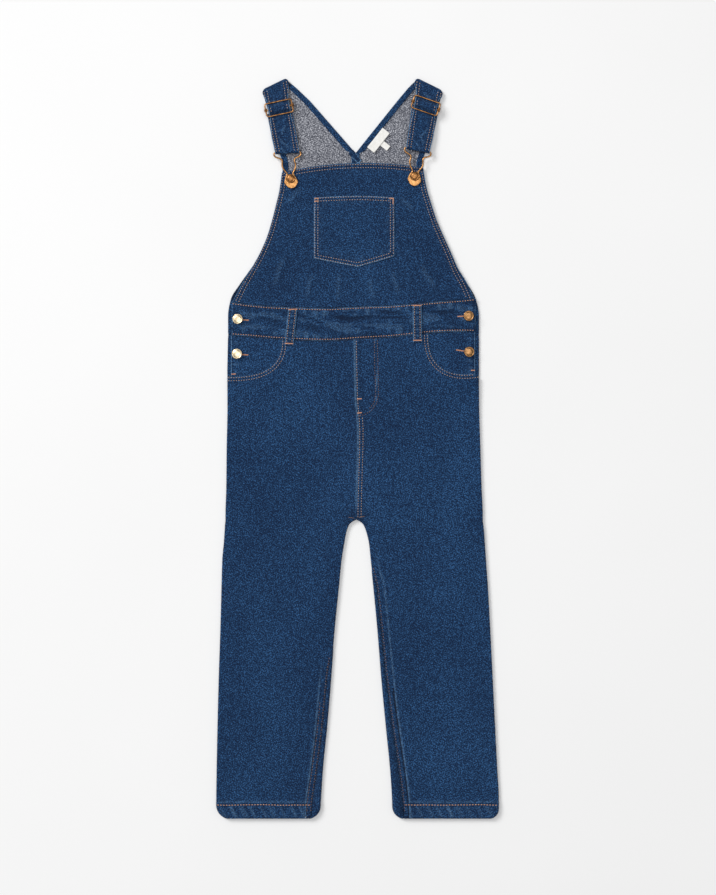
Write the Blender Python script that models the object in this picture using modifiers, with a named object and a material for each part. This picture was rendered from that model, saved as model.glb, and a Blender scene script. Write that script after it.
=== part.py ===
"""Kids' denim dungarees, laid flat on their back with the bib up.

The garment lies on the level surface z = 0. +X is the right of someone looking down at it, +Y
runs from the hems to the shoulders and +Z is up. Left and right mean -X and +X.

Every panel is a wall of cloth: a grid of points on the middle of the cloth, worked out row by
row from the tables below, then thickened. All sizes are in millimetres and become metres when a
mesh is made. Heights are those of the middle of a layer of cloth.
"""

import math

import bmesh
import bpy
import numpy as np

MM = 0.001

# Cloth and stacking
CLOTH = 1.2                        # one layer of denim
GAP = 0.3                          # between neighbouring pieces
STEP = CLOTH + GAP                 # from one layer to the one that lies on it
GROUND = CLOTH / 2                 # the layer that lies on the surface
TURNED = GROUND + STEP             # a hem or button stand turned in over it
FRONT = TURNED + STEP              # the front panels, over any hem of the back
SEAM = 0.5                         # between panels that meet along a curved seam
SEAM_HALF = GAP / 2
FOLD_SEAM = 0.45                   # from the middle of a side fold to the edge of each panel

# Hems and edges
HEM_FOOT = -463.3
LEG_HEM = 19
HEM_LIFT = STEP                    # the turned hems raise the front of a leg
HEM_RAMP = 8
NECK_HEM = 7
CENTRE_ALLOWANCE = 5
BUTTON_STAND = 24                  # what is turned in along the side openings
STAND_TOP = 186
STAND_FOOT = 95
SIDE_SEAM_TOP = 89
HIP = 50                           # above this row the front of a leg fans out to the waist
BACK_WAIST = 141
CORNER_RISE = 12.5                 # the rounded corners of the leg hems
CORNER_RUN = 20

# Waistband and fly
BAND = 2.6
BAND_ENDS = (-157, 147.5)
OPENING_EDGE = 5                   # from the side of the garment to the edge of the front

# Shoulder straps and metalwork
STRAP = 1.4
WIRE = 0.9                         # radius of the buckle wire
SLIDER_LEVEL = 7.3
SLIDER_SIZE = (33.8, 16.3)
SLIDER_PINCH = 1.2                 # how far each edge of the strap is drawn in by the slider
SLIDER_PLACE = 58                  # from the end of the strap to the slider's centre bar
SLIDER_CORNER = 2.2
COIL_LENGTH = 3.2                  # of the bar's ends, wound round the sides of the frame
COIL_RADIUS = 1.53
HOOK_LEVEL = 5.7
BUTTON_RADIUS = 6.4
BIB_BUTTON_RADIUS = 5.4
HOOK_TO_BUTTON = 34

# Outline of both legs below the waist. The insides meet at the centre seam as far as the crotch.
LEG_ROWS = [
    # y, left outside, left inside, right inside, right outside, left inseam, right inseam
    (BACK_WAIST, -162.0, None, None, 152.0, 0, 0),
    (118, -162.5, None, None, 152.0, 0, 0),
    (STAND_FOOT, -163.0, None, None, 152.0, 0, 0),
    (SIDE_SEAM_TOP, -163.0, None, None, 152.0, 0, 0),
    (50, -163.0, None, None, 152.5, 0, 0),
    (0, -164.0, None, None, 154.0, 0, 0),
    (-50, -164.5, None, None, 155.5, 0, 0),
    (-84, -165.5, None, None, 157.0, 0, 0),
    (-88.5, -165.5, None, None, 157.0, 0, 0),
    (-91, -165.5, -5.2, 2.2, 157.0, 0, 0),
    (-95, -166.0, -9.5, 6.5, 157.5, 0, 0),
    (-103, -166.5, -13.0, 10.0, 158.5, 0, 0),
    (-118, -167.5, -16.0, 13.8, 159.5, 0, 0),
    (-140, -169.5, -19.5, 16.2, 161.0, 0, 0),
    (-175, -170.5, -23.0, 19.8, 163.5, 0, 4.5),
    (-230, -172.0, -28.5, 25.0, 166.5, 0, 5.0),
    (-290, -174.0, -33.0, 29.8, 169.5, 5.0, 6.5),
    (-350, -175.5, -38.0, 35.5, 172.5, 5.5, 8.5),
    (-400, -176.5, -43.0, 40.5, 175.0, 7.0, 11.0),
    (-437, -177.0, -45.5, 43.0, 177.0, 10.0, 13.0),
    (-446, -177.0, -46.0, 43.3, 177.0, 10.5, 13.5),
    (HEM_FOOT, -177.0, -46.0, 43.5, 177.0, 11.0, 14.0),
]

# Front centre seam, which leans a little
CENTRE_SEAM = [(-90, -1.5), (-55, -0.8), (20, 1.0), (67, -2.0), (BACK_WAIST, -3.5)]  # y, x

# The upper back is two halves with a centre seam and a V neck.
BACK_ROWS = [
    # left outside, right outside, y outside, left inside, right inside, y inside
    (-162.0, 152.0, BACK_WAIST, -2.5, -2.5, BACK_WAIST),
    (-162.0, 152.0, 165, -2.5, -2.5, 165),
    (-158.5, 148.0, STAND_TOP, -2.5, -2.5, STAND_TOP),
    (-147.0, 137.5, 205, -2.5, -2.5, 205),
    (-135.0, 126.5, 222, -2.5, -2.5, 222),
    (-120.0, 114.5, 245, -2.5, -2.5, 245),
    (-105.5, 97.0, 285, -2.5, -2.5, 285),
    (-96.5, 85.0, 325, -2.5, -2.5, 325),
    (-93.5, 80.5, 353, -2.5, -2.5, 353),
    (-97.3, 84.4, 368.8, -2.7, -2.3, 368.8),
    (-102.0, 89.0, 385, -16.7, 10.5, 385),
    (-108.0, 95.6, 407.5, -39.4, 31.3, 411),
    (-113.0, 100.9, 425.5, -59.5, 49.7, 434),
    (-116.7, 104.2, 438, -81.4, 67.3, 455),
]

# The seams above and below the front waistband
WAIST = [
    # x, top edge, bottom edge
    (-162, 183.0, 141.0),
    (-138, 179.5, 139.5),
    (-103, 176.5, 136.5),
    (-38, 174.5, 134.0),
    (3, 176.5, 136.5),
    (38, 177.5, 138.5),
    (68, 180.0, 141.5),
    (98, 182.5, 144.5),
    (128, 185.0, 145.5),
    (152, 187.5, 145.0),
]

# Sides of the bib, from the waistband up
BIB_ROWS = [
    # y, left, right
    (179, -156.5, 146.0),
    (205, -144.0, 135.0),
    (222, -134.0, 125.5),
    (245, -121.5, 116.0),
    (265, -113.0, 107.0),
    (285, -107.0, 98.5),
    (305, -102.0, 92.0),
    (325, -97.5, 86.0),
    (347.5, -94.5, 82.0),
]
BIB_TOP_BOW = 8.5
BIB_TOP_TILT = 3

# Scooped hip pockets: a quarter of a superellipse from the waist seam to the side
POCKET_SCOOPS = {
    # side: start x on the waist seam, its y, depth, rise of the end at the side
    "left": (-94.5, 137, 48, 0),
    "right": (88.5, 144, 55, 4.5),
}
POCKET_ROUNDNESS = 2.7
POCKET_UNDERLAP = 6
POCKET_EASE = (15, 30)             # the panel over the facing is raised as far as this

# Patch pocket on the bib
BIB_POCKET = [
    # x, top edge, bottom edge
    (-54.4, 312.9, 237.1),
    (-28, 314.2, 231.6),
    (0.1, 315.0, 226.3),
    (24, 314.4, 233.0),
    (46, 312.9, 239.8),
]

BELT_LOOPS = {
    # side: top x, top y, foot x, foot y
    "left": (-80.6, 175, -85.6, 128),
    "right": (74.4, 180, 75.0, 132),
}
BELT_LOOP_WIDTH = 11
BELT_LOOP_LEVEL = 6.7

# Each strap folds over at the shoulder and comes down to its hook.
STRAPS = {
    # side: fold outside, fold inside, end outside, end inside, slider's turn in degrees
    "left": ((-119.4, 448.1), (-88.1, 463.4), (-102.6, 366.8), (-72.5, 368.4), 12),
    "right": ((106.9, 447.0), (73.4, 463.5), (89.8, 367.8), (60.6, 373.4), -19),
}

HOOK_TURNS = {"left": 7.6, "right": -7}    # degrees that each hook hangs from straight down
HOOK_OUTLINE = [
    # half width, distance below the bar
    (0, 0), (12, 0), (16.6, 0.8), (17.2, 4.4), (14.2, 6.8), (8.4, 8.8), (7.2, 11.5), (8.8, 17),
    (7.4, 21.8), (2.9, 28.4), (5.8, 31.6), (8.1, 36.5), (7, 41.6), (3.4, 45), (0, 45.6),
]
HOOK_PLATE_MIDDLE = 37
HOOK_PLATE_RADIUS = 9.2
HOOK_PLATE = 1.0

SIDE_BUTTONS = {
    # name: x, y, top of the cloth beneath
    "side_button_upper_left": (-149.4, 160.9, FRONT + BAND - CLOTH / 2),
    "side_button_lower_left": (-150.4, 117.5, FRONT + CLOTH / 2),
    "side_button_upper_right": (138.6, 165.0, FRONT + BAND - CLOTH / 2),
    "side_button_lower_right": (139.4, 120.1, FRONT + CLOTH / 2),
}
BUTTON_PROFILE = [
    # radius and height as parts of the button's radius
    (0.34, 0), (0.34, 0.16), (0.3, 0.3), (1, 0.34), (1, 0.46), (0.94, 0.52), (0.78, 0.5),
    (0.7, 0.54), (0, 0.6),
]

NECK_LABEL = {
    # name: middle x, middle y, width, length, height of its underside; both lie along the neck
    "neck_label": (26.1, 384.6, 11.2, 31.2, 3.0),
    "size_tab": (34.4, 378.2, 11.6, 7.2, 2.1),
}
LABEL = 0.6
LABEL_TURN = -38.5

# The largest soft folds of the laid cloth
FOLDS = [
    # name, x, y, half length, half width, direction in degrees, height
    ("bib_left_drag", -62, 212, 30, 8, 82, 0.6),
    ("bib_mid_drag", -6, 204, 24, 7, 96, 0.5),
    ("bib_right_drag", 40, 209, 26, 8, 101, 0.5),
    ("left_hip", -112, 30, 60, 18, 86, 0.7),
    ("right_hip", 96, 12, 64, 18, 95, 0.8),
    ("left_crotch_drag", -30, -66, 34, 9, 58, 0.7),
    ("right_crotch_drag", 30, -70, 36, 9, 124, 0.7),
    ("left_thigh", -120, -160, 66, 16, 92, 0.7),
    ("right_thigh", 118, -170, 58, 18, 84, 0.8),
    ("left_knee", -82, -268, 52, 14, 74, 0.8),
    ("right_knee", 84, -288, 56, 15, 108, 0.8),
    ("left_shin", -132, -372, 50, 15, 84, 0.7),
    ("right_shin", 132, -382, 46, 14, 97, 0.7),
]

FINISHES = {
    # name: colour in linear light, roughness, metallic
    "indigo_denim": ((0.014, 0.041, 0.099), 0.88, 0),
    "denim_inside": ((0.2, 0.21, 0.25), 0.92, 0),
    "aged_brass": ((0.56, 0.33, 0.12), 0.34, 1),
    "copper_wire": ((0.5, 0.27, 0.11), 0.32, 1),
    "woven_label": ((0.8, 0.79, 0.75), 0.8, 0),
}


def clear_scene():
    for obj in list(bpy.data.objects):
        bpy.data.objects.remove(obj, do_unlink=True)


def new_collection(name):
    collection = bpy.data.collections.new(name)
    bpy.context.scene.collection.children.link(collection)
    return collection


def make_finish(name, colour, roughness, metallic):
    material = bpy.data.materials.new(name)
    material.use_nodes = True
    shader = material.node_tree.nodes["Principled BSDF"]
    shader.inputs["Base Color"].default_value = (*colour, 1)
    shader.inputs["Roughness"].default_value = roughness
    shader.inputs["Metallic"].default_value = metallic
    return material


def smooth(t):
    """0 before 0, 1 past 1, and an even rise between them."""
    t = min(max(t, 0.0), 1.0)
    return t * t * (3 - 2 * t)


def read(table, at, column, by=0):
    """A column of a table, read at a value of another of its columns."""
    rows = sorted(table, key=lambda row: row[by])
    return float(np.interp(at, [row[by] for row in rows], [row[column] for row in rows]))


def blend(a, b, t):
    return np.asarray(a, float) * (1 - t) + np.asarray(b, float) * t


def add_object(name, data, finish):
    obj = bpy.data.objects.new(name, data)
    obj.data.materials.append(finish)
    dungarees.objects.link(obj)
    return obj


def cloth(name, rows, finish, thickness=CLOTH):
    """A wall of cloth on a grid of points: rows of equal length, in mm, on its middle."""
    grid = np.array(rows, float)
    down, across = grid.shape[:2]
    corners = np.arange(down * across).reshape(down, across)
    quads = np.stack(
        [corners[:-1, :-1], corners[:-1, 1:], corners[1:, 1:], corners[1:, :-1]], axis=-1
    )
    mesh = bpy.data.meshes.new(name)
    mesh.from_pydata((grid.reshape(-1, 3) * MM).tolist(), [], quads.reshape(-1, 4).tolist())
    mesh.shade_smooth()
    obj = add_object(name, mesh, finishes[finish])
    wall = obj.modifiers.new("thickness", "SOLIDIFY")
    wall.thickness = thickness * MM
    wall.offset = 0
    return obj


def fold_height(x, y):
    """How far the soft folds raise the front of the garment at a point."""
    height = 0
    for _, fold_x, fold_y, half_length, half_width, degrees, rise in FOLDS:
        turn = math.radians(degrees)
        lengthwise = (x - fold_x) * math.cos(turn) + (y - fold_y) * math.sin(turn)
        sideways = (y - fold_y) * math.cos(turn) - (x - fold_x) * math.sin(turn)
        height += rise * math.exp(-((lengthwise / half_length) ** 2) - (sideways / half_width) ** 2)
    return height


def leg_height(x, y, side):
    """The middle of the front of a leg: over the facing, and over the turned hem, it is higher."""
    hem_start = HEM_FOOT + LEG_HEM + HEM_RAMP
    over_hem = HEM_LIFT * smooth((hem_start - y) / HEM_RAMP)
    near, far = POCKET_EASE
    over_facing = STEP * smooth((far - scoop_distance(x, y, side)) / (far - near))
    return FRONT + over_hem + over_facing + fold_height(x, y) * smooth((y + 440) / 60)


def scoop(side, grow=0.0, count=9):
    """Points along a pocket's edge from the waist seam round to the side, or `grow` outside it."""
    start, waist, depth, rise = POCKET_SCOOPS[side]
    edge = read(LEG_ROWS, SIDE_SEAM_TOP, 1 if side == "left" else 4)
    width = start - edge
    points = []
    for angle in np.linspace(0, math.pi / 2, count):
        across = abs(math.cos(angle)) ** (2 / POCKET_ROUNDNESS)
        down = abs(math.sin(angle)) ** (2 / POCKET_ROUNDNESS)
        x = edge + (width + math.copysign(grow, width)) * across
        points.append((x, waist - (depth + grow) * down + rise * (1 - across) ** 2))
    return points


def scoop_distance(x, y, side):
    """How far a point of the leg is from the pocket's edge."""
    return min(math.hypot(x - px, y - py) for px, py in scoop_points[side])


def round_fold(edge, facing, low, high, angles):
    """Points (x, z) round a side fold: 0 degrees is its lowest point and 180 its highest."""
    radius = (high - low) / 2
    middle = edge - facing * (radius + CLOTH / 2)
    turns = [math.radians(angle) for angle in angles]
    return [
        (middle + facing * radius * math.sin(turn), low + radius * (1 - math.cos(turn)))
        for turn in turns
    ]


def to_seam(low, high, above):
    """Degrees round a side fold to the edge of the panel below or above its seam."""
    gap = math.degrees(FOLD_SEAM / ((high - low) / 2))
    return 90 + gap if above else 90 - gap


def leg_row(side, y):
    """The leg's outside, inside (or None above the crotch) and inseam at a height of the table."""
    outside, inside, inseam = (1, 2, 5) if side == "left" else (4, 3, 6)
    below = [row for row in LEG_ROWS if row[inside] is not None]
    inner = read(below, y, inside) if y <= below[0][0] else None
    return read(LEG_ROWS, y, outside), inner, read(LEG_ROWS, y, inseam)


def hem_sections(rows):
    """(y, inset) of each section down to the hem's fold and back up inside it."""
    radius = STEP / 2
    fold = HEM_FOOT + CLOTH / 2 + radius
    sections = [(y, 0.0) for y in rows[:-1]] + [(fold, 0.0)]
    for angle in (45, 90, 135, 180):
        turn = math.radians(angle)
        sections.append((fold - radius * math.sin(turn), radius * (1 - math.cos(turn))))
    sections.append((HEM_FOOT + LEG_HEM, STEP))
    return sections


def corner_lift(x, y, outside, inside):
    """The rounded lower corners: how far the hem rises towards the sides of the leg."""
    distance = min(abs(x - outside), abs(x - inside))
    near_edge = max(1 - distance / CORNER_RUN, 0) ** 2
    return CORNER_RISE * near_edge * smooth((-425 - y) / 25)


def place(points, y, outside, inside):
    """Section points (x, z) at a height, with the hem's corners rounded."""
    if inside is None:
        return [(x, y, z) for x, z in points]
    return [(x, y + corner_lift(x, y, outside, inside), z) for x, z in points]


def back_leg_section(side, y, inset):
    """From the centre seam or the inseam, under the leg, to the side seam or button stand."""
    outside, inside, inseam = leg_row(side, y)
    facing = -1 if side == "left" else 1
    low = GROUND + inset
    high = leg_height(outside, y, side) - inset
    if inside is None:
        end = read(CENTRE_SEAM, y, 1) + facing * SEAM_HALF
        inner = [(end + facing * 1.5 * step, low) for step in range(5)]
    else:
        top = leg_height(inside, y, side) - inset
        edge = inside + facing * inset
        if inseam < 3:
            inner = round_fold(edge, -facing, low, top, np.linspace(to_seam(low, top, False), 0, 5))
        else:
            inner = [(inside + facing * inseam, top)]
            inner += round_fold(edge, -facing, low, top, (180, 120, 60, 0))
    if y >= STAND_FOOT:
        outer = round_fold(outside, facing, GROUND, TURNED, (0, 60, 120, 180))
        outer.append((outside - facing * BUTTON_STAND, TURNED))
    else:
        angles = np.linspace(0, to_seam(low, high, False), 5)
        outer = round_fold(outside - facing * inset, facing, low, high, angles)
    first, last = inner[-1][0], outer[0][0]
    flat = [(first + (last - first) * step / 5, low) for step in range(1, 5)]
    return place(inner + flat + outer, y, outside, inside)


def front_leg_section(side, y, inset):
    """From the centre seam or the inseam, over the leg, to the side seam."""
    outside, inside, inseam = leg_row(side, y)
    facing = -1 if side == "left" else 1
    low = GROUND + inset
    high = leg_height(outside, y, side) - inset
    if inside is None:
        end = read(CENTRE_SEAM, y, 1) + facing * SEAM_HALF
        inner = [(end + facing * 2 * step, None) for step in range(3)]
    elif inseam < 3:
        top = leg_height(inside, y, side) - inset
        angles = np.linspace(to_seam(low, top, True), 180, 3)
        inner = round_fold(inside + facing * inset, -facing, low, top, angles)
    else:
        inner = [(inside + facing * (inseam + 2 * GAP + 2 * step), None) for step in range(3)]
    angles = np.linspace(180, to_seam(low, high, True), 3)
    outer = round_fold(outside - facing * inset, facing, low, high, angles)
    first, last = inner[-1][0], outer[0][0]
    flat = [(first + (last - first) * step / 7, None) for step in range(1, 7)]
    points = [
        (x, leg_height(x, y, side) - inset if z is None else z) for x, z in inner + flat + outer
    ]
    return place(points, y, outside, inside)


def make_back_leg(side):
    heights = [row[0] for row in LEG_ROWS]
    heights[0] -= SEAM_HALF
    rows = [back_leg_section(side, y, inset) for y, inset in hem_sections(heights)]
    cloth(f"leg_back_{side}", rows, "indigo_denim")


def make_front_leg(side):
    """Straight rows from the hem to the hip, then rows that fan out to the waist and pocket edges."""
    facing = -1 if side == "left" else 1
    heights = [row[0] for row in LEG_ROWS if row[0] <= HIP]
    rows = [front_leg_section(side, y, inset) for y, inset in hem_sections(heights)]
    hip_row = np.array(rows[0])
    side_row = np.array(front_leg_section(side, SIDE_SEAM_TOP - SEAM, 0))[-3:]
    seam_end = read(CENTRE_SEAM, BACK_WAIST, 1) + facing * SEAM_HALF
    pocket_start = POCKET_SCOOPS[side][0]
    waist_stations = (seam_end, facing * 38, pocket_start - facing * 11, pocket_start)
    along_waist = [(x, read(WAIST, x, 2) - SEAM) for x in waist_stations]
    along_scoop = scoop(side, 0, 7)[1:-1]
    top = along_waist + along_scoop
    for share in (0.35, 0.7, 1.0):
        row = []
        for low, (x, y) in zip(hip_row[:-3], top):
            point = blend(low[:2], (x, y), share)
            row.append((point[0], point[1], leg_height(point[0], point[1], side)))
        row += [tuple(blend(low, high, share)) for low, high in zip(hip_row[-3:], side_row)]
        rows.insert(0, row)
    cloth(f"leg_front_{side}", rows, "indigo_denim")


def make_facing(side):
    """The panel behind the pocket opening, from the side edge to under the front of the leg."""
    facing = -1 if side == "left" else 1
    _, waist, depth, _ = POCKET_SCOOPS[side]
    outline = scoop(side, POCKET_UNDERLAP, 24)
    edge = read(LEG_ROWS, SIDE_SEAM_TOP, 1 if side == "left" else 4) - facing * OPENING_EDGE
    foot = waist - depth
    rows = []
    for share in (0, 0.3, 0.55, 0.75, 0.9, 1):
        y = waist + (foot - waist) * share
        inner = read([(py, px) for px, py in outline], y, 1)
        row = []
        for x in np.linspace(inner, edge, 5):
            waist_gap = read(WAIST, x, 2) - SEAM - waist
            row.append((x, y + waist_gap * (1 - share), FRONT))
        rows.append(row)
    cloth(f"pocket_facing_{side}", rows, "indigo_denim")


def make_waistband():
    """The front waistband, a band of several layers that follows the waist's soft wave."""
    level = FRONT - CLOTH / 2 + BAND / 2
    left, right = BAND_ENDS
    stations = [left] + [row[0] for row in WAIST if left < row[0] < right] + [right]
    rows = []
    for share in (0, 0.35, 0.65, 1):
        row = []
        for x in stations:
            bottom, top = read(WAIST, x, 2), read(WAIST, x, 1)
            row.append((x, bottom + (top - bottom) * share, level))
        rows.append(row)
    cloth("waistband_front", rows, "indigo_denim", BAND)


def make_bib():
    lowest, highest = BIB_ROWS[0][0], BIB_ROWS[-1][0]
    rows = []
    for y, left, right in BIB_ROWS:
        up = (y - lowest) / (highest - lowest)
        row = []
        for across in np.linspace(0, 1, 10):
            x = left + (right - left) * across
            waist = read(WAIST, x, 1) + SEAM - lowest
            top = BIB_TOP_BOW * 4 * across * (1 - across) + BIB_TOP_TILT * (2 * across - 1)
            new_y = y + waist * (1 - up) ** 3 + top * up**3
            row.append((x, new_y, FRONT + fold_height(x, new_y)))
        rows.append(row)
    cloth("bib_front", rows, "indigo_denim")


def make_bib_pocket():
    rows = []
    for share in (0, 0.25, 0.5, 0.75, 1):
        row = []
        for x, top, bottom in BIB_POCKET:
            y = bottom + (top - bottom) * share
            row.append((x, y, FRONT + STEP + fold_height(x, y)))
        rows.append(row)
    cloth("bib_pocket", rows, "indigo_denim")


def make_belt_loop(side):
    top_x, top_y, foot_x, foot_y = BELT_LOOPS[side]
    ends = (np.array((foot_x, foot_y)), np.array((top_x, top_y)))
    run = ends[1] - ends[0]
    across = np.array((run[1], -run[0])) / np.hypot(*run) * BELT_LOOP_WIDTH / 2
    rows = []
    for share, rise in ((0, 0), (0.15, 0.1), (0.3, 0.5), (0.7, 0.5), (0.85, 0.1), (1, 0)):
        middle = blend(*ends, share)
        rows.append([(*(middle + across * turn), BELT_LOOP_LEVEL + rise) for turn in (-1, 0, 1)])
    cloth(f"belt_loop_{side}", rows, "indigo_denim")


def turned_edge(corner, inward, width):
    """Points (x, y, z) in from the end of a turned hem, round its fold, to the layer beneath."""
    radius = STEP / 2
    middle = corner + inward * (radius + CLOTH / 2)
    points = [(*(corner + inward * width), TURNED)]
    for angle in (180, 120, 60, 0):
        turn = math.radians(angle)
        place_on = middle - inward * radius * math.sin(turn)
        points.append((*place_on, GROUND + radius * (1 - math.cos(turn))))
    return points


def make_back(side):
    """One half of the upper back, its neck and armhole hems turned in to lie on its inside."""
    columns = (0, 3) if side == "left" else (1, 4)
    outer = np.array([(row[columns[0]], row[2]) for row in BACK_ROWS], float)
    inner = np.array([(row[columns[1]], row[5]) for row in BACK_ROWS], float)
    inner[:, 0] += SEAM_HALF * (-1 if side == "left" else 1)
    outer[0, 1] += SEAM_HALF
    inner[0, 1] += SEAM_HALF
    neck = next(i for i, row in enumerate(BACK_ROWS) if row[5] > 380)
    rows = []
    for i, (out_point, in_point) in enumerate(zip(outer, inner)):
        across = (in_point - out_point) / np.linalg.norm(in_point - out_point)
        below, above = max(i - 1, 0), min(i + 1, len(outer) - 1)
        slants = []
        for edge in (outer, inner):
            along = edge[above] - edge[below]
            slants.append(abs(across[0] * along[1] - across[1] * along[0]) / np.linalg.norm(along))
        stand = smooth((205 - out_point[1]) / (205 - STAND_TOP))
        armhole_hem = NECK_HEM / slants[0] * (1 - stand) + BUTTON_STAND * stand
        neck_hem = NECK_HEM / slants[1] if i >= neck else CENTRE_ALLOWANCE
        armhole = turned_edge(out_point, across, armhole_hem)
        neckline = turned_edge(in_point, -across, neck_hem)[::-1]
        start, end = np.array(armhole[-1]), np.array(neckline[0])
        rows.append(armhole + [tuple(blend(start, end, t)) for t in (0.25, 0.5, 0.75)] + neckline)
    cloth(f"back_{side}", rows, "denim_inside")


def strap_line(side, distance, turn=None):
    """Where a line across the strap meets its outside and inside edges.

    The line crosses the strap's middle at a distance from its end, at a turn in degrees, or
    parallel to the end of the strap.
    """
    fold_out, fold_in, end_out, end_in, _ = (np.array(v, float) for v in STRAPS[side])
    middle_end = (end_out + end_in) / 2
    run = (fold_out + fold_in) / 2 - middle_end
    point = middle_end + run / np.linalg.norm(run) * distance
    if turn is None:
        across = end_in - end_out
    else:
        across = np.array((math.cos(math.radians(turn)), math.sin(math.radians(turn))))
    meets = []
    for end, fold in ((end_out, fold_out), (end_in, fold_in)):
        edge = fold - end
        share, _ = np.linalg.solve(np.column_stack((edge, -across)), point - end)
        meets.append(end + edge * share)
    return meets


def strap_row(line, height, shift=0.0, pinch=0.0):
    """Three points across the strap, moved towards the shoulder by `shift` and in by `pinch`."""
    out_point, in_point = line
    across = (in_point - out_point) / np.linalg.norm(in_point - out_point)
    out_point, in_point = out_point + across * pinch, in_point - across * pinch
    up = np.array((-across[1], across[0]))
    if up[1] < 0:
        up = -up
    return [(*(blend(out_point, in_point, t) + up * shift), height) for t in (0, 0.5, 1)]


def make_strap(side):
    """The strap from its seam behind the shoulder, over the fold, through the slider, round the
    hook's bar and back up beneath itself to the slider."""
    fold = [np.array(point, float) for point in STRAPS[side][:2]]
    turn = STRAPS[side][4]
    top_row = BACK_ROWS[-1]
    outside, inside = (0, 3) if side == "left" else (1, 4)
    seam = [
        np.array((top_row[outside], top_row[2]), float),
        np.array((top_row[inside], top_row[5]), float),
    ]
    low, over = STRAP / 2, FRONT - CLOTH / 2 + STRAP / 2
    radius = (over - low) / 2
    clear = STRAP / 2 + radius
    rows = [strap_row(seam, low, GAP), strap_row(fold, low, -clear)]
    for angle in (60, 120, 180):
        bend = math.radians(angle)
        height = low + radius * (1 - math.cos(bend))
        rows.append(strap_row(fold, height, radius * math.sin(bend) - clear))
    under_bar = SLIDER_LEVEL - WIRE - GAP - STRAP / 2
    over_bar = SLIDER_LEVEL + WIRE + GAP + STRAP / 2
    half = SLIDER_SIZE[1] / 2
    high_bar = strap_line(side, SLIDER_PLACE + half, turn)
    before_slider = strap_row(high_bar, over, 6)
    rows.append([tuple(blend(a, b, 0.5)) for a, b in zip(rows[-1], before_slider)])
    for offset, height in (
        (half + 3, under_bar),
        (half - 2, under_bar + 0.2),
        (half * 0.4, over_bar - 0.5),
        (0, over_bar),
        (-half * 0.4, over_bar - 0.5),
        (-half + 2, under_bar + 0.2),
        (-half - 3, under_bar),
    ):
        line = strap_line(side, SLIDER_PLACE + offset, turn)
        rows.append(strap_row(line, height, 0, SLIDER_PINCH * (1 + abs(turn + 3) / 12)))
    loop = WIRE + GAP + STRAP / 2
    bar = loop + STRAP / 2
    for distance, height in ((26, under_bar), (9, under_bar + 0.6)):
        rows.append(strap_row(strap_line(side, distance), height))
    for angle in (0, 45, 90, 135, 180):
        bend = math.radians(angle)
        line = strap_line(side, bar - loop * math.sin(bend))
        rows.append(strap_row(line, HOOK_LEVEL + loop * math.cos(bend)))
    for distance, height in ((9, over), (28, over)):
        rows.append(strap_row(strap_line(side, distance), height))
    rows.append(strap_row(strap_line(side, SLIDER_PLACE - 4, turn), over))
    cloth(f"strap_{side}", rows, "indigo_denim", STRAP)


def wire(name, points, radius, finish, closed=True):
    """A bent wire through points in mm, smooth between them."""
    curve = bpy.data.curves.new(name, "CURVE")
    curve.dimensions = "3D"
    curve.bevel_depth = radius * MM
    curve.bevel_resolution = 1
    curve.resolution_u = 3
    curve.use_fill_caps = True
    spline = curve.splines.new("BEZIER")
    spline.bezier_points.add(len(points) - 1)
    for point, place_at in zip(spline.bezier_points, points):
        point.co = [value * MM for value in place_at]
        point.handle_left_type = point.handle_right_type = "AUTO"
    spline.use_cyclic_u = closed
    return add_object(name, curve, finishes[finish])


def curve_to_mesh(obj):
    """The curve object made a mesh with its caps welded, under the same name."""
    graph = bpy.context.evaluated_depsgraph_get()
    mesh = bpy.data.meshes.new_from_object(obj.evaluated_get(graph))
    shape = bmesh.new()
    shape.from_mesh(mesh)
    bmesh.ops.remove_doubles(shape, verts=shape.verts, dist=0.000001)
    bmesh.ops.recalc_face_normals(shape, faces=shape.faces)
    shape.to_mesh(mesh)
    shape.free()
    name, place_at = obj.name, obj.matrix_world.copy()
    bpy.data.objects.remove(obj, do_unlink=True)
    new = bpy.data.objects.new(name, mesh)
    new.matrix_world = place_at
    dungarees.objects.link(new)
    return new


def make_rod(name, length, radius, sides, location, turn, lengthwise):
    """A cylinder lying level along its own X, or along Y when `lengthwise` is true, to be joined."""
    bpy.ops.mesh.primitive_cylinder_add(vertices=sides, radius=radius * MM, depth=length * MM)
    rod = bpy.context.object
    rod.name = name
    rod.location = [value * MM for value in location]
    axis = math.radians(turn) + (math.pi / 2 if lengthwise else 0)
    rod.rotation_euler = (0, math.pi / 2, axis)
    for collection in list(rod.users_collection):
        collection.objects.unlink(rod)
    helpers.objects.link(rod)
    rod.hide_render = True
    rod.display_type = "WIRE"
    return rod


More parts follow.
